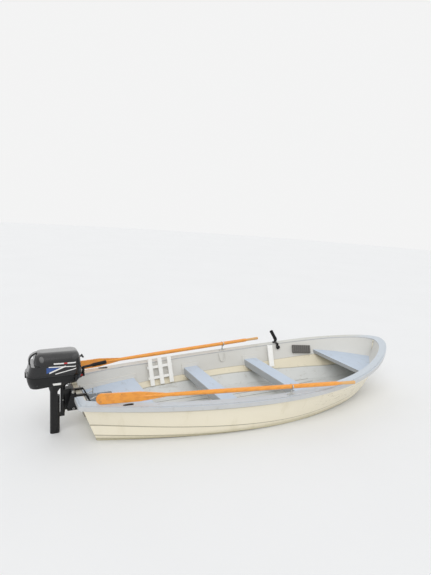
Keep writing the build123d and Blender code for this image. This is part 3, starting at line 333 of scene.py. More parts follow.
def grey_gelcoat():
    """Grey gelcoat of the rim: tops painted bluish as a painted sky reflection, patchy grime,
    chips.
    """
    coat = Finish("grey_gelcoat", Coat_Roughness=0.2, Specular_IOR_Level=0.45)
    up = coat.facing()[2]
    mottle = coat.cloud(4.0, 5.0)
    fine = coat.cloud(60.0, 6.0, 0.62)
    # Up-facing tops get a bluish colour, a painted sky reflection; the sides keep a plain grey.
    top = coat.rise(up, 0.55, 0.85)
    y = coat.axes()[1]
    side = coat.blend(mottle * 0.5, paint(200, 202, 203), paint(183, 185, 186))
    flat = coat.blend(mottle * 0.6, paint(199, 207, 215), paint(183, 192, 200))
    # Towards port the tops' painted blue gives way to a warmer grey.
    port_top = coat.blend(mottle * 0.6, paint(206, 206, 200), paint(190, 190, 184))
    flat = coat.blend(coat.rise(y, 0.05, 0.35), flat, port_top)
    colour = coat.blend(top, side, flat)
    grime = coat.rise(coat.cloud(11.0, 8.0, 0.7), 0.55, 0.72) * 0.30
    colour = coat.blend(grime, colour, paint(146, 143, 130))
    chips = coat.rise(coat.cells(70.0), 0.0, 0.11)
    sparse = coat.rise(coat.cloud(6.0, 3.0), 0.56, 0.64)
    colour = coat.blend((1.0 - chips) * sparse * 0.7, colour, paint(96, 92, 84))
    return coat.feed(Base_Color=colour, Roughness=0.34 + fine * 0.2,
                     Coat_Weight=0.25 + mottle * 0.1, Normal=coat.bump(fine, 0.0005, 0.3))


def liner_gelcoat():
    """Inside of the boat: pale walls, warm bilges, a scuffed grey floor."""
    coat = Finish("liner_gelcoat", Coat_Roughness=0.25, Specular_IOR_Level=0.4)
    x, y, z = coat.axes()
    mottle = coat.cloud(3.5, 5.0)
    fine = coat.cloud(55.0, 6.0, 0.6)
    wall = coat.blend(mottle * 0.5, paint(216, 215, 210), paint(200, 199, 194))
    bilge = coat.blend(mottle * 0.6, paint(230, 222, 200), paint(212, 203, 178))
    floor = coat.blend(mottle * 0.7, paint(215, 217, 215), paint(198, 200, 198))
    foot, chine, _ = coat.profile(x, LENGTH, LINER_FEET, 0.0, 0.6)
    low = 1.0 - coat.rise(z - foot, -0.004, 0.004)
    colour = coat.blend(low, wall, bilge)
    flat = 1.0 - coat.rise(z - chine, -0.004, 0.004)
    colour = coat.blend(flat, colour, floor)
    # Dark lines along the wall's foot and along the floor's edge, forward of about 0.8 m: painted
    # shade in these creases.
    crease_shade = coat.band(z - foot, -0.003, 0.002, 0.002) * 0.6
    crease_shade = coat.band(z - chine, -0.004, 0.002, 0.002).most(crease_shade)
    colour = coat.blend(crease_shade * coat.rise(x, 0.8, 0.85) * 0.55, colour, paint(140, 134, 116))
    wear = coat.rise(coat.cloud(7.0, 9.0, 0.72, coat.stretched((0.5, 1.6, 1.0))), 0.52, 0.66)
    colour = coat.blend(wear * flat * 0.35, colour, paint(158, 154, 142))
    dirt = coat.rise(coat.cloud(16.0, 8.0, 0.7), 0.56, 0.72)
    colour = coat.blend(dirt * (0.10 + low * 0.20), colour, paint(140, 128, 98))
    # Dark lines in the floor's grooves: painted shade in these recesses.
    line = abs((y / GROOVE_PITCH).part() - 0.5)
    groove_shade = (1.0 - coat.rise(line, 0.045, 0.065)) * (1.0 - coat.rise(z, 0.05, 0.09))
    groove_shade = groove_shade * coat.band(x, 0.83, 3.04, 0.01) * (1.0 - coat.rise(abs(y), 0.255, 0.265))
    colour = coat.blend(groove_shade * 0.65, colour, paint(108, 104, 92))
    dimples = coat.cells(260.0, along=coat.stretched((1.0, 1.0, 0.4)))
    relief = coat.bump(dimples * flat, 0.0008, 0.5)
    return coat.feed(Base_Color=colour, Roughness=0.42 + fine * 0.2,
                     Coat_Weight=0.12 + mottle * 0.08, Normal=coat.bump(fine, 0.0005, 0.25, relief))


def seat_gelcoat():
    """Seats: non-slip tops painted bluish as a painted sky reflection, front and aft faces painted
    darker grey as painted shade.
    """
    coat = Finish("seat_gelcoat", Coat_Roughness=0.25, Specular_IOR_Level=0.4)
    up = coat.facing()[2]
    mottle = coat.cloud(4.0, 6.0)
    fine = coat.cloud(65.0, 6.0, 0.62)
    # Up-facing tops get a bluish colour, a painted sky reflection; the other faces get a darker
    # grey, painted shade.
    top = coat.rise(up, 0.6, 0.9)
    face = coat.blend(mottle * 0.6, paint(172, 176, 179), paint(154, 158, 160))
    flat = coat.blend(mottle * 0.6, paint(196, 208, 223), paint(180, 193, 209))
    colour = coat.blend(top, face, flat)
    foot = coat.rise(coat.cloud(9.0, 9.0, 0.75, coat.stretched((2.0, 0.8, 1.0))), 0.54, 0.68)
    colour = coat.blend(foot * (0.10 + top * 0.22), colour, paint(150, 150, 146))
    grain = coat.cells(330.0)
    relief = coat.bump(grain * top, 0.0007, 0.5)
    return coat.feed(Base_Color=colour, Roughness=0.45 + fine * 0.2,
                     Coat_Weight=0.10 + mottle * 0.08, Normal=coat.bump(fine, 0.0004, 0.25, relief))


# Wood, metal and plastic
def oar_varnish(name, turn, grip_x):
    """Orange varnished pine along the oar, spotted and worn pale at the grip."""
    coat = Finish(name, Coat_Roughness=0.12, Specular_IOR_Level=0.5)
    along = coat.stretched((1.0, 14.0, 14.0), -turn)
    grain = coat.cloud(6.0, 8.0, 0.65, along)
    rings = coat.node("ShaderNodeTexWave", {"wave_type": "BANDS", "bands_direction": "Y"},
                      {"Vector": coat.stretched((0.35, 1.0, 1.0), -turn), "Scale": 26.0,
                       "Distortion": 5.0, "Detail": 3.0, "Detail Scale": 1.2})
    colour = coat.blend(grain, paint(247, 170, 58), paint(228, 140, 36))
    colour = coat.blend(coat.rise(rings, 0.55, 0.95) * 0.28, colour, paint(202, 114, 30))
    pores = coat.cells(24.0, along=coat.stretched((1.0, 1.6, 1.6), -turn))
    spots = 1.0 - coat.rise(pores, 0.06, 0.16)
    sparse = coat.rise(coat.cloud(9.0, 3.0), 0.52, 0.60)
    colour = coat.blend(spots * sparse * 0.8, colour, paint(92, 54, 24))
    x = coat.axes()[0]
    worn = coat.rise(x + (grain - 0.5) * 0.06, grip_x - 0.05, grip_x + 0.02)
    colour = coat.blend(worn * 0.75, colour, paint(214, 178, 128))
    tip = coat.rise(coat.cloud(20.0, 6.0, 0.7), 0.50, 0.62) * (1.0 - coat.rise(x, 0.20, 0.28))
    colour = coat.blend(tip * 0.5, colour, paint(172, 120, 70))
    return coat.feed(Base_Color=colour, Roughness=0.26 + grain * 0.12 + worn * 0.35 + spots * 0.1,
                     Coat_Weight=0.7 - worn * 0.65, Normal=coat.bump(grain, 0.0008, 0.35))


def zinc():
    """Galvanised steel with its spangle, dulled outdoors."""
    metal = Finish("zinc", Metallic=1.0)
    spangle = metal.cells(110.0, "Color")
    level = metal.node("ShaderNodeSeparateXYZ", inputs={0: spangle})
    fine = metal.cloud(90.0, 6.0, 0.6)
    colour = metal.blend(level, paint(182, 184, 183), paint(214, 216, 214))
    rust = metal.rise(metal.cloud(34.0, 8.0, 0.7), 0.64, 0.72)
    colour = metal.blend(rust * 0.5, colour, paint(132, 96, 66))
    return metal.feed(Base_Color=colour, Roughness=0.40 + fine * 0.22 + rust * 0.2,
                      Normal=metal.bump(fine, 0.0004, 0.4))


def bright_steel():
    """Stainless steel of screws and bolts."""
    metal = Finish("bright_steel", Metallic=1.0)
    fine = metal.cloud(400.0, 4.0)
    colour = metal.blend(fine, paint(176, 176, 172), paint(206, 206, 202))
    return metal.feed(Base_Color=colour, Roughness=0.24 + fine * 0.2,
                      Normal=metal.bump(fine, 0.0001, 0.3))


def moulded_plastic(name, tone, roughness, dust=0.12, grain=420.0, shade=0.78):
    """Moulded plastic with a fine grain and a little dust on what faces up."""
    plastic = Finish(name, Specular_IOR_Level=0.4)
    up = plastic.facing()[2]
    skin = plastic.cells(grain)
    mottle = plastic.cloud(18.0, 5.0)
    darker = tuple(channel * shade for channel in tone[:3]) + (1.0,)
    colour = plastic.blend(mottle, tone, darker)
    film = plastic.rise(up, 0.3, 1.0) * plastic.rise(mottle, 0.35, 0.7) * dust
    colour = plastic.blend(film, colour, paint(168, 164, 152))
    return plastic.feed(Base_Color=colour, Roughness=roughness + mottle * 0.12 + film * 0.3,
                        Normal=plastic.bump(skin, 0.0004, 0.35))


def motor_enamel():
    """Satin black enamel of the leg and brackets, with salt film and rubbed edges."""
    enamel = Finish("motor_enamel", Coat_Roughness=0.2, Specular_IOR_Level=0.32)
    z = enamel.axes()[2]
    mottle = enamel.cloud(14.0, 6.0)
    fine = enamel.cloud(160.0, 5.0, 0.6)
    colour = enamel.blend(mottle, paint(13, 13, 14), paint(22, 22, 23))
    wetted = 1.0 - enamel.rise(z, 0.05, 0.30)
    salt = enamel.rise(enamel.cloud(24.0, 9.0, 0.72), 0.56, 0.70) * wetted
    colour = enamel.blend(salt * 0.35, colour, paint(120, 120, 112))
    chips = 1.0 - enamel.rise(enamel.cells(150.0), 0.05, 0.09)
    sparse = enamel.rise(enamel.cloud(12.0, 3.0), 0.58, 0.64)
    colour = enamel.blend(chips * sparse, colour, paint(140, 140, 138))
    return enamel.feed(Base_Color=colour, Roughness=0.36 + fine * 0.16 + salt * 0.2,
                       Coat_Weight=0.12 - salt * 0.08, Normal=enamel.bump(fine, 0.0003, 0.35))


def cowl_gloss():
    """Gloss black cowl with plain white and blue stripes along each side."""
    gloss = Finish("cowl_gloss", Coat_Roughness=0.05, Specular_IOR_Level=0.5)
    x, _, z = gloss.axes()
    _, sideways, up = gloss.facing()
    flank = gloss.rise(abs(sideways), 0.72, 0.82)
    fine = gloss.cloud(220.0, 4.0)
    mottle = gloss.cloud(9.0, 5.0)
    crown = gloss.rise(up, 0.30, 0.85)
    colour = gloss.blend(mottle, paint(9, 9, 11), paint(15, 15, 18))
    main, sweep, thin, upper = (z - (height + x * rise) for height, rise in STRIPE_LINES)
    long_stripe = gloss.band(main, -0.0035, 0.0030, 0.0015) * gloss.band(x, -0.205, 0.018, 0.006)
    stroke = gloss.band(sweep, -0.0045, 0.0060, 0.0015) * gloss.band(x, -0.200, -0.070, 0.006)
    thin_stripe = gloss.band(thin, -0.0030, 0.0030, 0.0015) * gloss.band(x, -0.150, 0.021, 0.006)
    field = gloss.rise(sweep, 0.006, 0.009) * (1.0 - gloss.rise(main, -0.007, -0.0045))
    blue = field * gloss.band(x, -0.222, -0.098, 0.008)
    top_stripe = gloss.band(upper, -0.0050, 0.0050, 0.001)
    white = top_stripe * gloss.band(x, -0.165, 0.020, 0.003)
    white = long_stripe.most(stroke).most(thin_stripe) + white
    red = top_stripe * gloss.band(x, -0.080, -0.052, 0.002)
    colour = gloss.blend(blue * flank, colour, paint(34, 74, 140))
    colour = gloss.blend(white * flank, colour, paint(236, 236, 234))
    colour = gloss.blend(red * flank, colour, paint(196, 34, 40))
    dust = gloss.rise(up, 0.5, 1.0) * gloss.rise(mottle, 0.4, 0.7)
    colour = gloss.blend(dust * 0.05, colour, paint(150, 150, 146))
    return gloss.feed(Base_Color=colour, Roughness=0.16 + fine * 0.08 + dust * 0.12,
                      Coat_Weight=0.25 + crown * 0.75, Normal=gloss.bump(mottle, 0.0012, 0.12))


def rubber(name, tone):
    """Matt rubber, greyed where hands and sun reach it."""
    soft = Finish(name, Specular_IOR_Level=0.3)
    fine = soft.cloud(240.0, 6.0, 0.65)
    mottle = soft.cloud(16.0, 5.0)
    greyed = tuple(min(1.0, channel * 1.9 + 0.01) for channel in tone[:3]) + (1.0,)
    colour = soft.blend(mottle * 0.6, tone, greyed)
    return soft.feed(Base_Color=colour, Roughness=0.70 + fine * 0.15,
                     Normal=soft.bump(fine, 0.0004, 0.5))


def painted_board():
    """Grey painted plywood that the motor clamps bite on."""
    board = Finish("painted_board", Specular_IOR_Level=0.4)
    grain = board.cloud(9.0, 8.0, 0.65, board.stretched((6.0, 1.0, 6.0)))
    colour = board.blend(grain, paint(150, 148, 142), paint(124, 121, 114))
    worn = board.rise(board.cloud(13.0, 8.0, 0.72), 0.55, 0.62)
    colour = board.blend(worn * 0.7, colour, paint(110, 84, 58))
    return board.feed(Base_Color=colour, Roughness=0.5 + grain * 0.15 + worn * 0.15,
                      Normal=board.bump(grain, 0.0008, 0.4))


def engine_casting():
    """Plain cast alloy."""
    cast = Finish("engine_casting", Metallic=0.9)
    fine = cast.cloud(130.0, 6.0, 0.65)
    colour = cast.blend(fine, paint(118, 118, 116), paint(146, 146, 142))
    return cast.feed(Base_Color=colour, Roughness=0.5 + fine * 0.2,
                     Normal=cast.bump(fine, 0.0008, 0.5))


CREAM = cream_gelcoat()
RIM = grey_gelcoat()
LINER = liner_gelcoat()
SEAT = seat_gelcoat()
ZINC = zinc()
STEEL = bright_steel()
BLACK = moulded_plastic("black_plastic", paint(24, 24, 25), 0.42)
WHITE = moulded_plastic("white_plastic", paint(248, 248, 245), 0.40, 0.10, 300.0, 0.93)
RED = moulded_plastic("red_plastic", paint(196, 30, 34), 0.38, 0.05)
PANEL = moulded_plastic("panel_plastic", paint(112, 110, 107), 0.55, 0.2, 260.0, 0.82)
ENAMEL = motor_enamel()
GLOSS = cowl_gloss()
RUBBER = rubber("black_rubber", paint(26, 26, 27))
SEAL = rubber("grey_seal", paint(58, 58, 60))
BOARD = painted_board()
CASTING = engine_casting()
OAR_TURN = {"starboard": math.radians(-10.1), "port": math.radians(8.0)}
OARS = {"starboard": oar_varnish("starboard_varnish", OAR_TURN["starboard"], 2.56),
        "port": oar_varnish("port_varnish", OAR_TURN["port"], 2.42)}

NODE_FINISH = {
    CREAM: ("hull_shell", "keel_strip"),
    RIM: ("gunwale_rim",),
    LINER: ("inner_liner",),
    SEAT: ("stern_bench", "thwart_aft", "thwart_rowing", "bow_seat"),
    BOARD: ("transom_pad_outer", "transom_pad_inner"),
    BLACK: ("drain_plug", "rod_holder", "cleat_port", "cleat_starboard", "starter_handle",
            "shift_lever", "cowl_latch"),
    RED: ("kill_switch",),
    ZINC: ("bow_eye", "rowlock_socket_starboard", "rowlock_socket_port", "rowlock_starboard",
           "rowlock_port", "clamp_screws"),
    WHITE: ("grating", "side_board"),
    PANEL: ("side_panel",),
    ENAMEL: ("clamp_bracket", "swivel_bracket", "drive_leg", "gearcase", "bottom_cowl", "propeller",
             "tiller_arm"),
    GLOSS: ("top_cowl",),
    SEAL: ("cowl_seal",),
    RUBBER: ("tiller_grip",),
    CASTING: ("engine_block",),
    OARS["starboard"]: ("oar_starboard",),
    OARS["port"]: ("oar_port",),
}


def dress_nodes():
    """Gives each of the model's own pieces its finish."""
    for finish, names in NODE_FINISH.items():
        for name in names:
            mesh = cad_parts[name].data
            mesh.materials.clear()
            mesh.materials.append(finish)


SIDES = (("starboard", -1), ("port", 1))
SHARP_ANGLE = math.radians(35.0)


# Making pieces
def finish_piece(name, mesh, body, material):
    """Puts a mesh in the scene as a piece that rides on a body."""
    for index in range(len(mesh.materials)):
        mesh.materials[index] = material
    if not mesh.materials:
        mesh.materials.append(material)
    made = bpy.data.objects.new(name, mesh)
    bpy.context.scene.collection.objects.link(made)
    mesh.shade_smooth()
    mesh.set_sharp_from_angle(angle=SHARP_ANGLE)
    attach(made, body)
    return made


def from_bmesh(shape):
    """Closes up a shape, points its faces outwards and returns it as a mesh."""
    bmesh.ops.remove_doubles(shape, verts=shape.verts, dist=1e-6)
    bmesh.ops.recalc_face_normals(shape, faces=shape.faces)
    mesh = bpy.data.meshes.new("shape")
    shape.to_mesh(mesh)
    shape.free()
    return mesh


def add_lathe(shape, start, way, profile, sides):
    """Adds a turned form: profile rows are (distance along way from start, radius)."""
    way = Vector(way).normalized()
    side = way.orthogonal().normalized()
    up = way.cross(side)
    rings = []
    for distance, radius in profile:
        middle = Vector(start) + way * distance
        if radius < 1e-6:
            rings.append([shape.verts.new(middle)])
            continue
        turns = [2 * math.pi * i / sides for i in range(sides)]
        spokes = [(side * math.cos(turn) + up * math.sin(turn)) * radius for turn in turns]
        rings.append([shape.verts.new(middle + spoke) for spoke in spokes])
    for low, high in zip(rings, rings[1:]):
        for i in range(sides):
            below = [low[i % len(low)], low[(i + 1) % len(low)]]
            above = [high[(i + 1) % len(high)], high[i % len(high)]]
            unique = list(dict.fromkeys(below + above))
            if len(unique) > 2:
                shape.faces.new(unique)
    for end in (rings[0], rings[-1]):
        if len(end) > 1:
            shape.faces.new(end)


def turned_piece(name, body, material, rows):
    """Makes one piece of turned forms: rows are (start, way, profile, sides)."""
    shape = bmesh.new()
    for row in rows:
        add_lathe(shape, *row)
    finish_piece(name, from_bmesh(shape), body, material)


def add_block(shape, centre, size, soften, turn=(0.0, 0.0, 0.0)):
    """Adds a block with softened edges."""
    made = bmesh.ops.create_cube(shape, size=1.0)
    verts = made["verts"]
    place = Matrix.Translation(centre)
    for angle, axis in zip(turn, "XYZ"):
        place = place @ Matrix.Rotation(angle, 4, axis)
    bmesh.ops.transform(shape, matrix=place @ Matrix.Diagonal((*size, 1.0)), verts=verts)
    edges = list(dict.fromkeys(edge for vert in verts for edge in vert.link_edges))
    bmesh.ops.bevel(shape, geom=edges, offset=soften, segments=2, affect="EDGES")


def tube_mesh(points, radius, order, sides):
    """Mesh of a bent rod or hose through the points' smooth curve."""
    curve = bpy.data.curves.new("route", "CURVE")
    curve.dimensions = "3D"
    line = curve.splines.new("NURBS")
    line.points.add(len(points) - 1)
    for point, place in zip(line.points, points):
        point.co = (*place, 1.0)
    line.order_u = order
    line.use_endpoint_u = True
    curve.bevel_depth = radius
    curve.bevel_resolution = sides // 4
    curve.use_fill_caps = True
    holder = bpy.data.objects.new("route", curve)
    bpy.context.scene.collection.objects.link(holder)
    graph = bpy.context.evaluated_depsgraph_get()
    mesh = bpy.data.meshes.new_from_object(holder.evaluated_get(graph))
    bpy.data.objects.remove(holder)
    shape = bmesh.new()
    shape.from_mesh(mesh)
    bpy.data.meshes.remove(mesh)
    return from_bmesh(shape)


# Repeated small parts, placed by Geometry Nodes
class Trail:
    """Builds a node tree that sets a small part at even steps along a line."""

    def __init__(self, name):
        self.tree = bpy.data.node_groups.new(name, "GeometryNodeTree")
        face = self.tree.interface
        face.new_socket("Geometry", in_out="INPUT", socket_type="NodeSocketGeometry")
        face.new_socket("Geometry", in_out="OUTPUT", socket_type="NodeSocketGeometry")
        self.start = self.tree.nodes.new("NodeGroupInput")
        self.end = self.tree.nodes.new("NodeGroupOutput")

    def number(self, name, kind="NodeSocketFloat"):
        self.tree.interface.new_socket(name, in_out="INPUT", socket_type=kind)
        return self.start.outputs[name]

    def node(self, kind, settings=None, inputs=None, output=0):
        made = self.tree.nodes.new(kind)
        for label, value in (settings or {}).items():
            setattr(made, label, value)
        for key, value in (inputs or {}).items():
            if isinstance(value, bpy.types.NodeSocket):
                self.tree.links.new(value, made.inputs[key])
            else:
                made.inputs[key].default_value = value
        return made.outputs[output]

    def close(self, geometry, material):
        real = self.node("GeometryNodeRealizeInstances", inputs={0: geometry})
        set_material = self.node("GeometryNodeSetMaterial",
                                 inputs={"Geometry": real, "Material": material})
        self.tree.links.new(set_material, self.end.inputs[0])
        return self.tree


def screw_row_tree():
    """Domed screw heads standing upright along a line."""
    trail = Trail("screw_row")
    count = trail.number("Count", "NodeSocketInt")
    radius = trail.number("Head Radius")
    height = trail.number("Head Height")
    material = trail.number("Material", "NodeSocketMaterial")
    points = trail.node("GeometryNodeCurveToPoints", {"mode": "COUNT"},
                        {"Curve": trail.start.outputs[0], "Count": count})
    head = trail.node("GeometryNodeMeshUVSphere",
                      inputs={"Segments": 14, "Rings": 6, "Radius": radius})
    share = trail.node("ShaderNodeMath", {"operation": "DIVIDE"}, {0: height, 1: radius})
    flatten = trail.node("ShaderNodeCombineXYZ", inputs={0: 1.0, 1: 1.0, 2: share})
    squat = trail.node("GeometryNodeTransform", inputs={"Geometry": head, "Scale": flatten})
    placed = trail.node("GeometryNodeInstanceOnPoints",
                        inputs={"Points": points, "Instance": squat})
    return trail.close(placed, material)


def ring_row_tree():
    """Raised rings threaded along a line."""
    trail = Trail("ring_row")
    count = trail.number("Count", "NodeSocketInt")
    radius = trail.number("Ring Radius")
    wire = trail.number("Wire Radius")
    material = trail.number("Material", "NodeSocketMaterial")
    along = trail.node("GeometryNodeCurveToPoints", {"mode": "COUNT"},
                       {"Curve": trail.start.outputs[0], "Count": count})
    turn = along.node.outputs["Rotation"]
    hoop = trail.node("GeometryNodeCurvePrimitiveCircle",
                      inputs={"Resolution": 28, "Radius": radius})
    section = trail.node("GeometryNodeCurvePrimitiveCircle",
                         inputs={"Resolution": 8, "Radius": wire})
    solid = trail.node("GeometryNodeCurveToMesh", inputs={"Curve": hoop, "Profile Curve": section})
    placed = trail.node("GeometryNodeInstanceOnPoints",
                        inputs={"Points": along, "Instance": solid, "Rotation": turn})
    return trail.close(placed, material)


def slot_row_tree():
    """Small bars set at even steps along a line, for grilles and vents."""
    trail = Trail("slot_row")
    count = trail.number("Count", "NodeSocketInt")
    size = trail.number("Bar Size", "NodeSocketVector")
    material = trail.number("Material", "NodeSocketMaterial")
    along = trail.node("GeometryNodeCurveToPoints", {"mode": "COUNT"},
                       {"Curve": trail.start.outputs[0], "Count": count})
    bar = trail.node("GeometryNodeMeshCube", inputs={"Size": size})
    placed = trail.node("GeometryNodeInstanceOnPoints", inputs={"Points": along, "Instance": bar})
    return trail.close(placed, material)


SCREWS = screw_row_tree()
RINGS = ring_row_tree()
BARS = slot_row_tree()


def follow(name, tree, route, body, slot, **values):
    """Runs a tree along a route and keeps the result as a plain mesh that rides on a body."""
    curve = bpy.data.curves.new(name, "CURVE")
    curve.dimensions = "3D"
    line = curve.splines.new("POLY")
    line.points.add(len(route) - 1)
    for point, place in zip(line.points, route):
        point.co = (*place, 1.0)
    holder = bpy.data.objects.new(name + "_route", curve)
    bpy.context.scene.collection.objects.link(holder)
    modifier = holder.modifiers.new("trail", "NODES")
    modifier.node_group = tree
    keys = {item.name: item.identifier for item in tree.interface.items_tree
            if item.in_out == "INPUT"}
    material = values["Material"]
    for label, value in values.items():
        modifier[keys[label.replace("_", " ")]] = value
    graph = bpy.context.evaluated_depsgraph_get()
    mesh = bpy.data.meshes.new_from_object(holder.evaluated_get(graph))
    holder.modifiers.remove(modifier)
    bpy.data.objects.remove(holder)
    return finish_piece(name, mesh, body, material)


# Fittings on the hull
def rim_screws():
    """Screws that hold the rim to the hull, along the ledge on each side."""
    first, last, steps = 0.10, 3.80, 32
    for name, side in SIDES:
        places = [rim_ledge(first + i * (last - first) / steps, side) for i in range(steps + 1)]
        route = [place for place in places if place]
        follow(f"rim_screws_{name}", SCREWS, route, "hull", "galvanised", Count=26,
               Head_Radius=0.0035, Head_Height=0.0016, Material=STEEL)


def socket_screws():
    """Two screws through each rowlock plate and each cleat."""
    for name, side in SIDES:
        y = side * (rim_half(ROWLOCK_X) - ROWLOCK_INSET)
        z = rim_height(ROWLOCK_X) + ROWLOCK_PLATE
        route = [(ROWLOCK_X - 0.034, y, z), (ROWLOCK_X + 0.034, y, z)]
        follow(f"rowlock_screws_{name}", SCREWS, route, "hull", "galvanised", Count=2,
               Head_Radius=0.0052, Head_Height=0.0022, Material=STEEL)
        y = side * (rim_half(CLEAT_X) - CLEAT_INSET)
        z = rim_height(CLEAT_X) + CLEAT_PLATE
        route = [(CLEAT_X - 0.041, y, z), (CLEAT_X + 0.041, y, z)]
        follow(f"cleat_screws_{name}", SCREWS, route, "hull", "galvanised", Count=2,
               Head_Radius=0.0032, Head_Height=0.0014, Material=STEEL)


def board_bolts():
    """Coach bolts through the transom board, outside and inside."""
    dome = ((-0.002, 0.009), (0.0, 0.009), (0.002, 0.0078), (0.0038, 0.0045), (0.0044, 0.0))
    nut = ((-0.001, 0.010), (0.0015, 0.010), (0.0015, 0.0075), (0.007, 0.0075), (0.007, 0.004),
           (0.010, 0.0036), (0.010, 0.0))
    places = [(y, 0.215) for y in (-0.14, -0.03, 0.03, 0.14)] + [(y, 0.340) for y in (-0.14, 0.14)]
    rows = []
    for y, z in sorted(places):
        rows.append(((transom_x(z) - BOARD_OUT, y, z), -THROUGH_BOARD, dome, 20))
        rows.append(((transom_x(z) + BOARD_IN, y, z), THROUGH_BOARD, nut, 20))
    turned_piece("board_bolts", "hull", STEEL, rows)


def holder_bolts():
    """Bolts round the rod holder's foot, its collar screw and the knob that sets its lean."""
    x, y = HOLDER_X, rim_half(HOLDER_X) - 0.05
    z = rim_height(HOLDER_X) + 0.0098
    circle = 0.022
    head = ((-0.001, 0.0042), (0.001, 0.0042), (0.0024, 0.003), (0.0026, 0.0))
    rows = []
    for i in range(4):
        turn = math.pi / 4 + i * math.pi / 2
        start = (x + circle * math.cos(turn), y + circle * math.sin(turn), z)
        rows.append((start, (0, 0, 1), head, 14))
    turned_piece("holder_bolts", "hull", STEEL, rows)
    shape = bmesh.new()
    lean_knob = ((0.0, 0.006), (0.008, 0.006), (0.008, 0.014), (0.010, 0.016), (0.020, 0.016),
                 (0.022, 0.013), (0.0225, 0.0))
    clamp_knob = ((-0.004, 0.012), (0.006, 0.012), (0.008, 0.024), (0.012, 0.026), (0.024, 0.026),
                  (0.028, 0.022), (0.029, 0.0))
    add_lathe(shape, (x, y - 0.010, z + 0.030), (0, -1, 0), lean_knob, 12)
    edge = y - 0.060
    strap = 0.034
    add_block(shape, (x, (y + edge) / 2 - 0.006, z - 0.004), (strap, y - edge + 0.006, 0.010),
              soften=0.003)
    add_block(shape, (x, edge - 0.008, z - 0.032), (strap, 0.012, 0.066), soften=0.003)
    add_lathe(shape, (x, edge - 0.014, z - 0.050), (0, -1, 0), clamp_knob, 12)
    finish_piece("holder_knobs", from_bmesh(shape), "hull", BLACK)


def wall_beads():
    """Raised moulding in the shape of a U on the liner's wall under each rowlock."""
    line = ((1.918, 0.350), (1.922, 0.300), (1.936, 0.262), (1.967, 0.246), (1.994, 0.262),
            (2.004, 0.300), (2.003, 0.350))
    foot, foot_z = LINER_FOOT
    proud = 0.0005
    for name, side in SIDES:
        route = []
        for x, z in line:
            half = foot + (LINER_TOP - foot) * (z - foot_z) / (rim_height(x) - foot_z)
            route.append((x, side * (half + proud), z))
        bead = tube_mesh(route, 0.0045, 3, 12)
        finish_piece(f"wall_bead_{name}", bead, "hull", LINER)


# Details on the motor
def motor_badges():
    """Blank label plate low on the near side of the motor's pan."""
    shape = bmesh.new()
    place, normal = touch("bottom_cowl", (LEG_X, -0.4, 0.523), (0, 1, 0))
    add_block(shape, place, (0.070, 0.0016, 0.026), 0.0005, (-math.asin(normal.z), 0, 0))
    finish_piece("label_plate", from_bmesh(shape), "motor", WHITE)


def tiller_details():
    """Ribs, collar and end cap of the twist grip."""
    way = Vector((math.cos(TILLER_RISE), 0, math.sin(TILLER_RISE)))
    arm = 0.0903
    start = Vector(TILLER_HINGE) + way * arm
    route = [start + way * 0.012, start + way * 0.108]
    cap = ((0.0, 0.0150), (0.003, 0.0150), (0.0055, 0.0115), (0.006, 0.0))
    collar = ((0.0, 0.0135), (0.002, 0.0155), (0.008, 0.0155), (0.0098, 0.0145))
    follow("grip_ribs", RINGS, route, "motor", "dark_rubber", Count=15, Ring_Radius=0.0169,
           Wire_Radius=0.0013, Material=RUBBER)
    turned_piece("grip_cap", "motor", BLACK,
                 [(start + way * 0.1235, way, cap, 24), (start - way * 0.010, way, collar, 24)])


def motor_hardware():
    """Choke knob, fuel connector, water outlet, propeller nut, gearcase screws, water inlets."""
    choke = ((0.0, 0.006), (0.012, 0.006), (0.012, 0.012), (0.016, 0.014), (0.022, 0.014),
             (0.024, 0.011), (0.0245, 0.0))
    fuel = ((0.0, 0.009), (0.006, 0.009), (0.006, 0.006), (0.016, 0.006), (0.017, 0.0045),
            (0.020, 0.0045), (0.0205, 0.0))
    outlet = ((0.0, 0.0045), (0.012, 0.0045), (0.0125, 0.003), (0.004, 0.0025), (0.003, 0.0))
    nut = ((0.0005, 0.013), (0.003, 0.013), (0.003, 0.0098), (0.010, 0.0098), (0.0105, 0.0085),
           (0.0135, 0.0085), (0.0138, 0.0062))
    screw = ((-0.001, 0.006), (0.001, 0.006), (0.0016, 0.005), (0.0016, 0.0))
    bolt = ((-0.001, 0.0065), (0.003, 0.0065), (0.004, 0.005), (0.004, 0.0))
    turned_piece("choke_and_fuel", "motor", BLACK,
                 [((0.070, 0.052, 0.575), (1, 0, 0), choke, 20),
                  ((0.068, -0.066, 0.545), (1, 0, 0), fuel, 20)])
    turned_piece("telltale", "motor", STEEL,
                 [((-0.300, -0.118, 0.532), (-0.3, -0.9, -0.3), outlet, 16)])
    x, z = PROP_SHAFT
    turned_piece("prop_nut", "propeller", STEEL,
                 [((x - 0.031, 0, z), (-1, 0, 0), nut, 6)])
    rows = [((-0.10, -0.0308, z), (0, -1, 0), screw, 18),
            ((-0.13, -0.0140, -0.125), (0, -1, 0), screw, 18)]
    rows += [((LEG_X + dx, side * 0.040, -0.0850), (0, 0, 1), bolt, 6)
             for side in (-1, 1) for dx in (-0.09, 0.0, 0.06)]
    turned_piece("gear_screws", "motor", STEEL, rows)
    for name, side in SIDES:
        route = [(-0.118, side * 0.0142, -0.140), (-0.118, side * 0.0142, -0.164)]
        follow(f"water_inlet_{name}", BARS, route, "motor", "motor_black", Count=5,
               Bar_Size=(0.030, 0.0022, 0.0026), Material=STEEL)


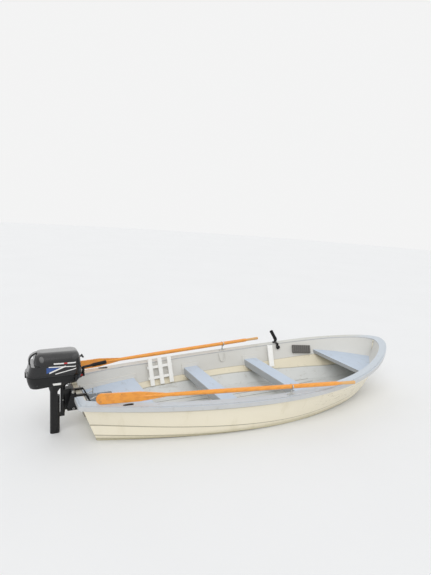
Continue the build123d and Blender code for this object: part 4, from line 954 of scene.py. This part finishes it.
def tilt_hardware():
    """Nuts on the tilt pin, washers on the rod, grease nipple on the steering tube."""
    nut = ((-0.001, 0.0140), (0.0005, 0.0150), (0.007, 0.0150), (0.0075, 0.0140), (0.0078, 0.0))
    washer = ((-0.001, 0.0095), (0.0005, 0.0100), (0.0035, 0.0100), (0.0040, 0.0))
    nipple = ((0.0, 0.005), (0.002, 0.005), (0.002, 0.003), (0.008, 0.0025), (0.0085, 0.0))
    rows = []
    for side in (-1, 1):
        rows.append(((TILT_PIN[0], side * ARM_FACE, TILT_PIN[1]), (0, side, 0), nut, 6))
        rows.append(((TILT_ROD[0], side * ARM_FACE, TILT_ROD[1]), (0, side, 0), washer, 18))
    turned_piece("pin_nuts", "hull", STEEL, rows)
    turned_piece("grease_nipple", "tilt_frame", STEEL,
                 [((-0.0705, -0.0205, 0.320), (0, -1, 0), nipple, 14)])


def clamp_handles():
    """Ball ends on the clamp screws' bars."""
    ball = ((0.0, 0.0044), (0.001, 0.0062), (0.0035, 0.0072), (0.006, 0.0062), (0.0075, 0.0030),
            (0.0078, 0.0))
    y, z = SCREW_PLACE
    reach, half_bar = 0.086, 0.026
    rows = []
    for side in (-1, 1):
        head = Vector((transom_x(z) + BOARD_IN, side * y, z)) + THROUGH_BOARD * reach
        rows += [(head + Vector((0, 0, up * half_bar)), (0, 0, up), ball, 16) for up in (-1, 1)]
    turned_piece("clamp_ends", "hull", ZINC, rows)


# Light, floor and camera
FLOOR_RADIUS = 40.0
SKY_LIGHT = 0.67                              # strength of the sky as a light
SKY_SEEN = 0.90                               # and where the camera or a reflection meets it
# way the light falls, width of the lamp in degrees, strength
LAMPS = {
    "key": ((0.42, 0.55, -0.72), 50.0, 1.06),
    "fill": ((-0.70, 0.45, -0.55), 70.0, 0.40),
    "back": ((0.15, -0.75, -0.65), 70.0, 0.30),
}


def set_floor():
    """Pale floor at the waterline."""
    floor = Finish("floor_paint", Specular_IOR_Level=0.1)
    soft = floor.cloud(0.6, 3.0)
    colour = floor.blend(soft, paint(236, 237, 238), paint(232, 233, 234))
    floor.feed(Base_Color=colour, Roughness=0.85)
    shape = bmesh.new()
    bmesh.ops.create_circle(shape, cap_ends=True, radius=FLOOR_RADIUS, segments=64)
    mesh = bpy.data.meshes.new("floor")
    shape.to_mesh(mesh)
    shape.free()
    mesh.materials.append(floor.material)
    ground = bpy.data.objects.new("floor", mesh)
    bpy.context.scene.collection.objects.link(ground)


def set_sky():
    """White sky, brighter to the camera and in reflections than as a light."""
    world = bpy.data.worlds.new("sky")
    world.use_nodes = True
    tree = world.node_tree
    back = tree.nodes["Background"]
    back.inputs["Color"].default_value = (1.0, 1.0, 1.0, 1.0)
    path = tree.nodes.new("ShaderNodeLightPath")
    seen = path.outputs["Is Camera Ray"]
    for ray in ("Is Transmission Ray", "Is Glossy Ray"):
        either = tree.nodes.new("ShaderNodeMath")
        either.operation = "MAXIMUM"
        tree.links.new(seen, either.inputs[0])
        tree.links.new(path.outputs[ray], either.inputs[1])
        seen = either.outputs[0]
    level = tree.nodes.new("ShaderNodeMapRange")
    level.inputs["To Min"].default_value = SKY_LIGHT
    level.inputs["To Max"].default_value = SKY_SEEN
    tree.links.new(seen, level.inputs["Value"])
    tree.links.new(level.outputs[0], back.inputs["Strength"])
    bpy.context.scene.world = world


def set_lamps():
    """Three wide suns, so that the light is soft and even."""
    for name, (way, spread, strength) in LAMPS.items():
        lamp = bpy.data.lights.new(name, "SUN")
        lamp.angle = math.radians(spread)
        lamp.energy = strength
        holder = bpy.data.objects.new(name, lamp)
        holder.rotation_euler = Vector(way).to_track_quat("-Z", "Y").to_euler()
        bpy.context.scene.collection.objects.link(holder)


# The photograph's camera: place, heading, angle down, roll, focal length by picture height
EYE = (-0.666, -3.972, 2.114)
HEADING = math.radians(28.12)
PITCH = math.radians(9.81)
ROLL = math.radians(3.71)
FOCAL_SHARE = 435.3 / 575


def set_camera():
    """Camera at the photograph's place, turn and angle of view, with plain display colours."""
    ahead = Vector((math.sin(HEADING), math.cos(HEADING), 0))
    right = Vector((math.cos(HEADING), -math.sin(HEADING), 0))
    look = ahead * math.cos(PITCH) - Vector((0, 0, math.sin(PITCH)))
    up = ahead * math.sin(PITCH) + Vector((0, 0, math.cos(PITCH)))
    side = right * math.cos(ROLL) + up * math.sin(ROLL)
    top = up * math.cos(ROLL) - right * math.sin(ROLL)
    lens = bpy.data.cameras.new("camera")
    lens.lens = lens.sensor_width * FOCAL_SHARE
    camera = bpy.data.objects.new("camera", lens)
    turn = Matrix((side, top, -look)).transposed().to_4x4()
    camera.matrix_world = Matrix.Translation(EYE) @ turn
    bpy.context.scene.collection.objects.link(camera)
    bpy.context.scene.camera = camera
    bpy.context.scene.view_settings.view_transform = "Standard"


set_camera()
set_floor()
set_sky()
set_lamps()
dress_nodes()
rim_screws()
socket_screws()
board_bolts()
holder_bolts()
wall_beads()
motor_badges()
tiller_details()
motor_hardware()
tilt_hardware()
clamp_handles()

bpy.context.view_layer.update()
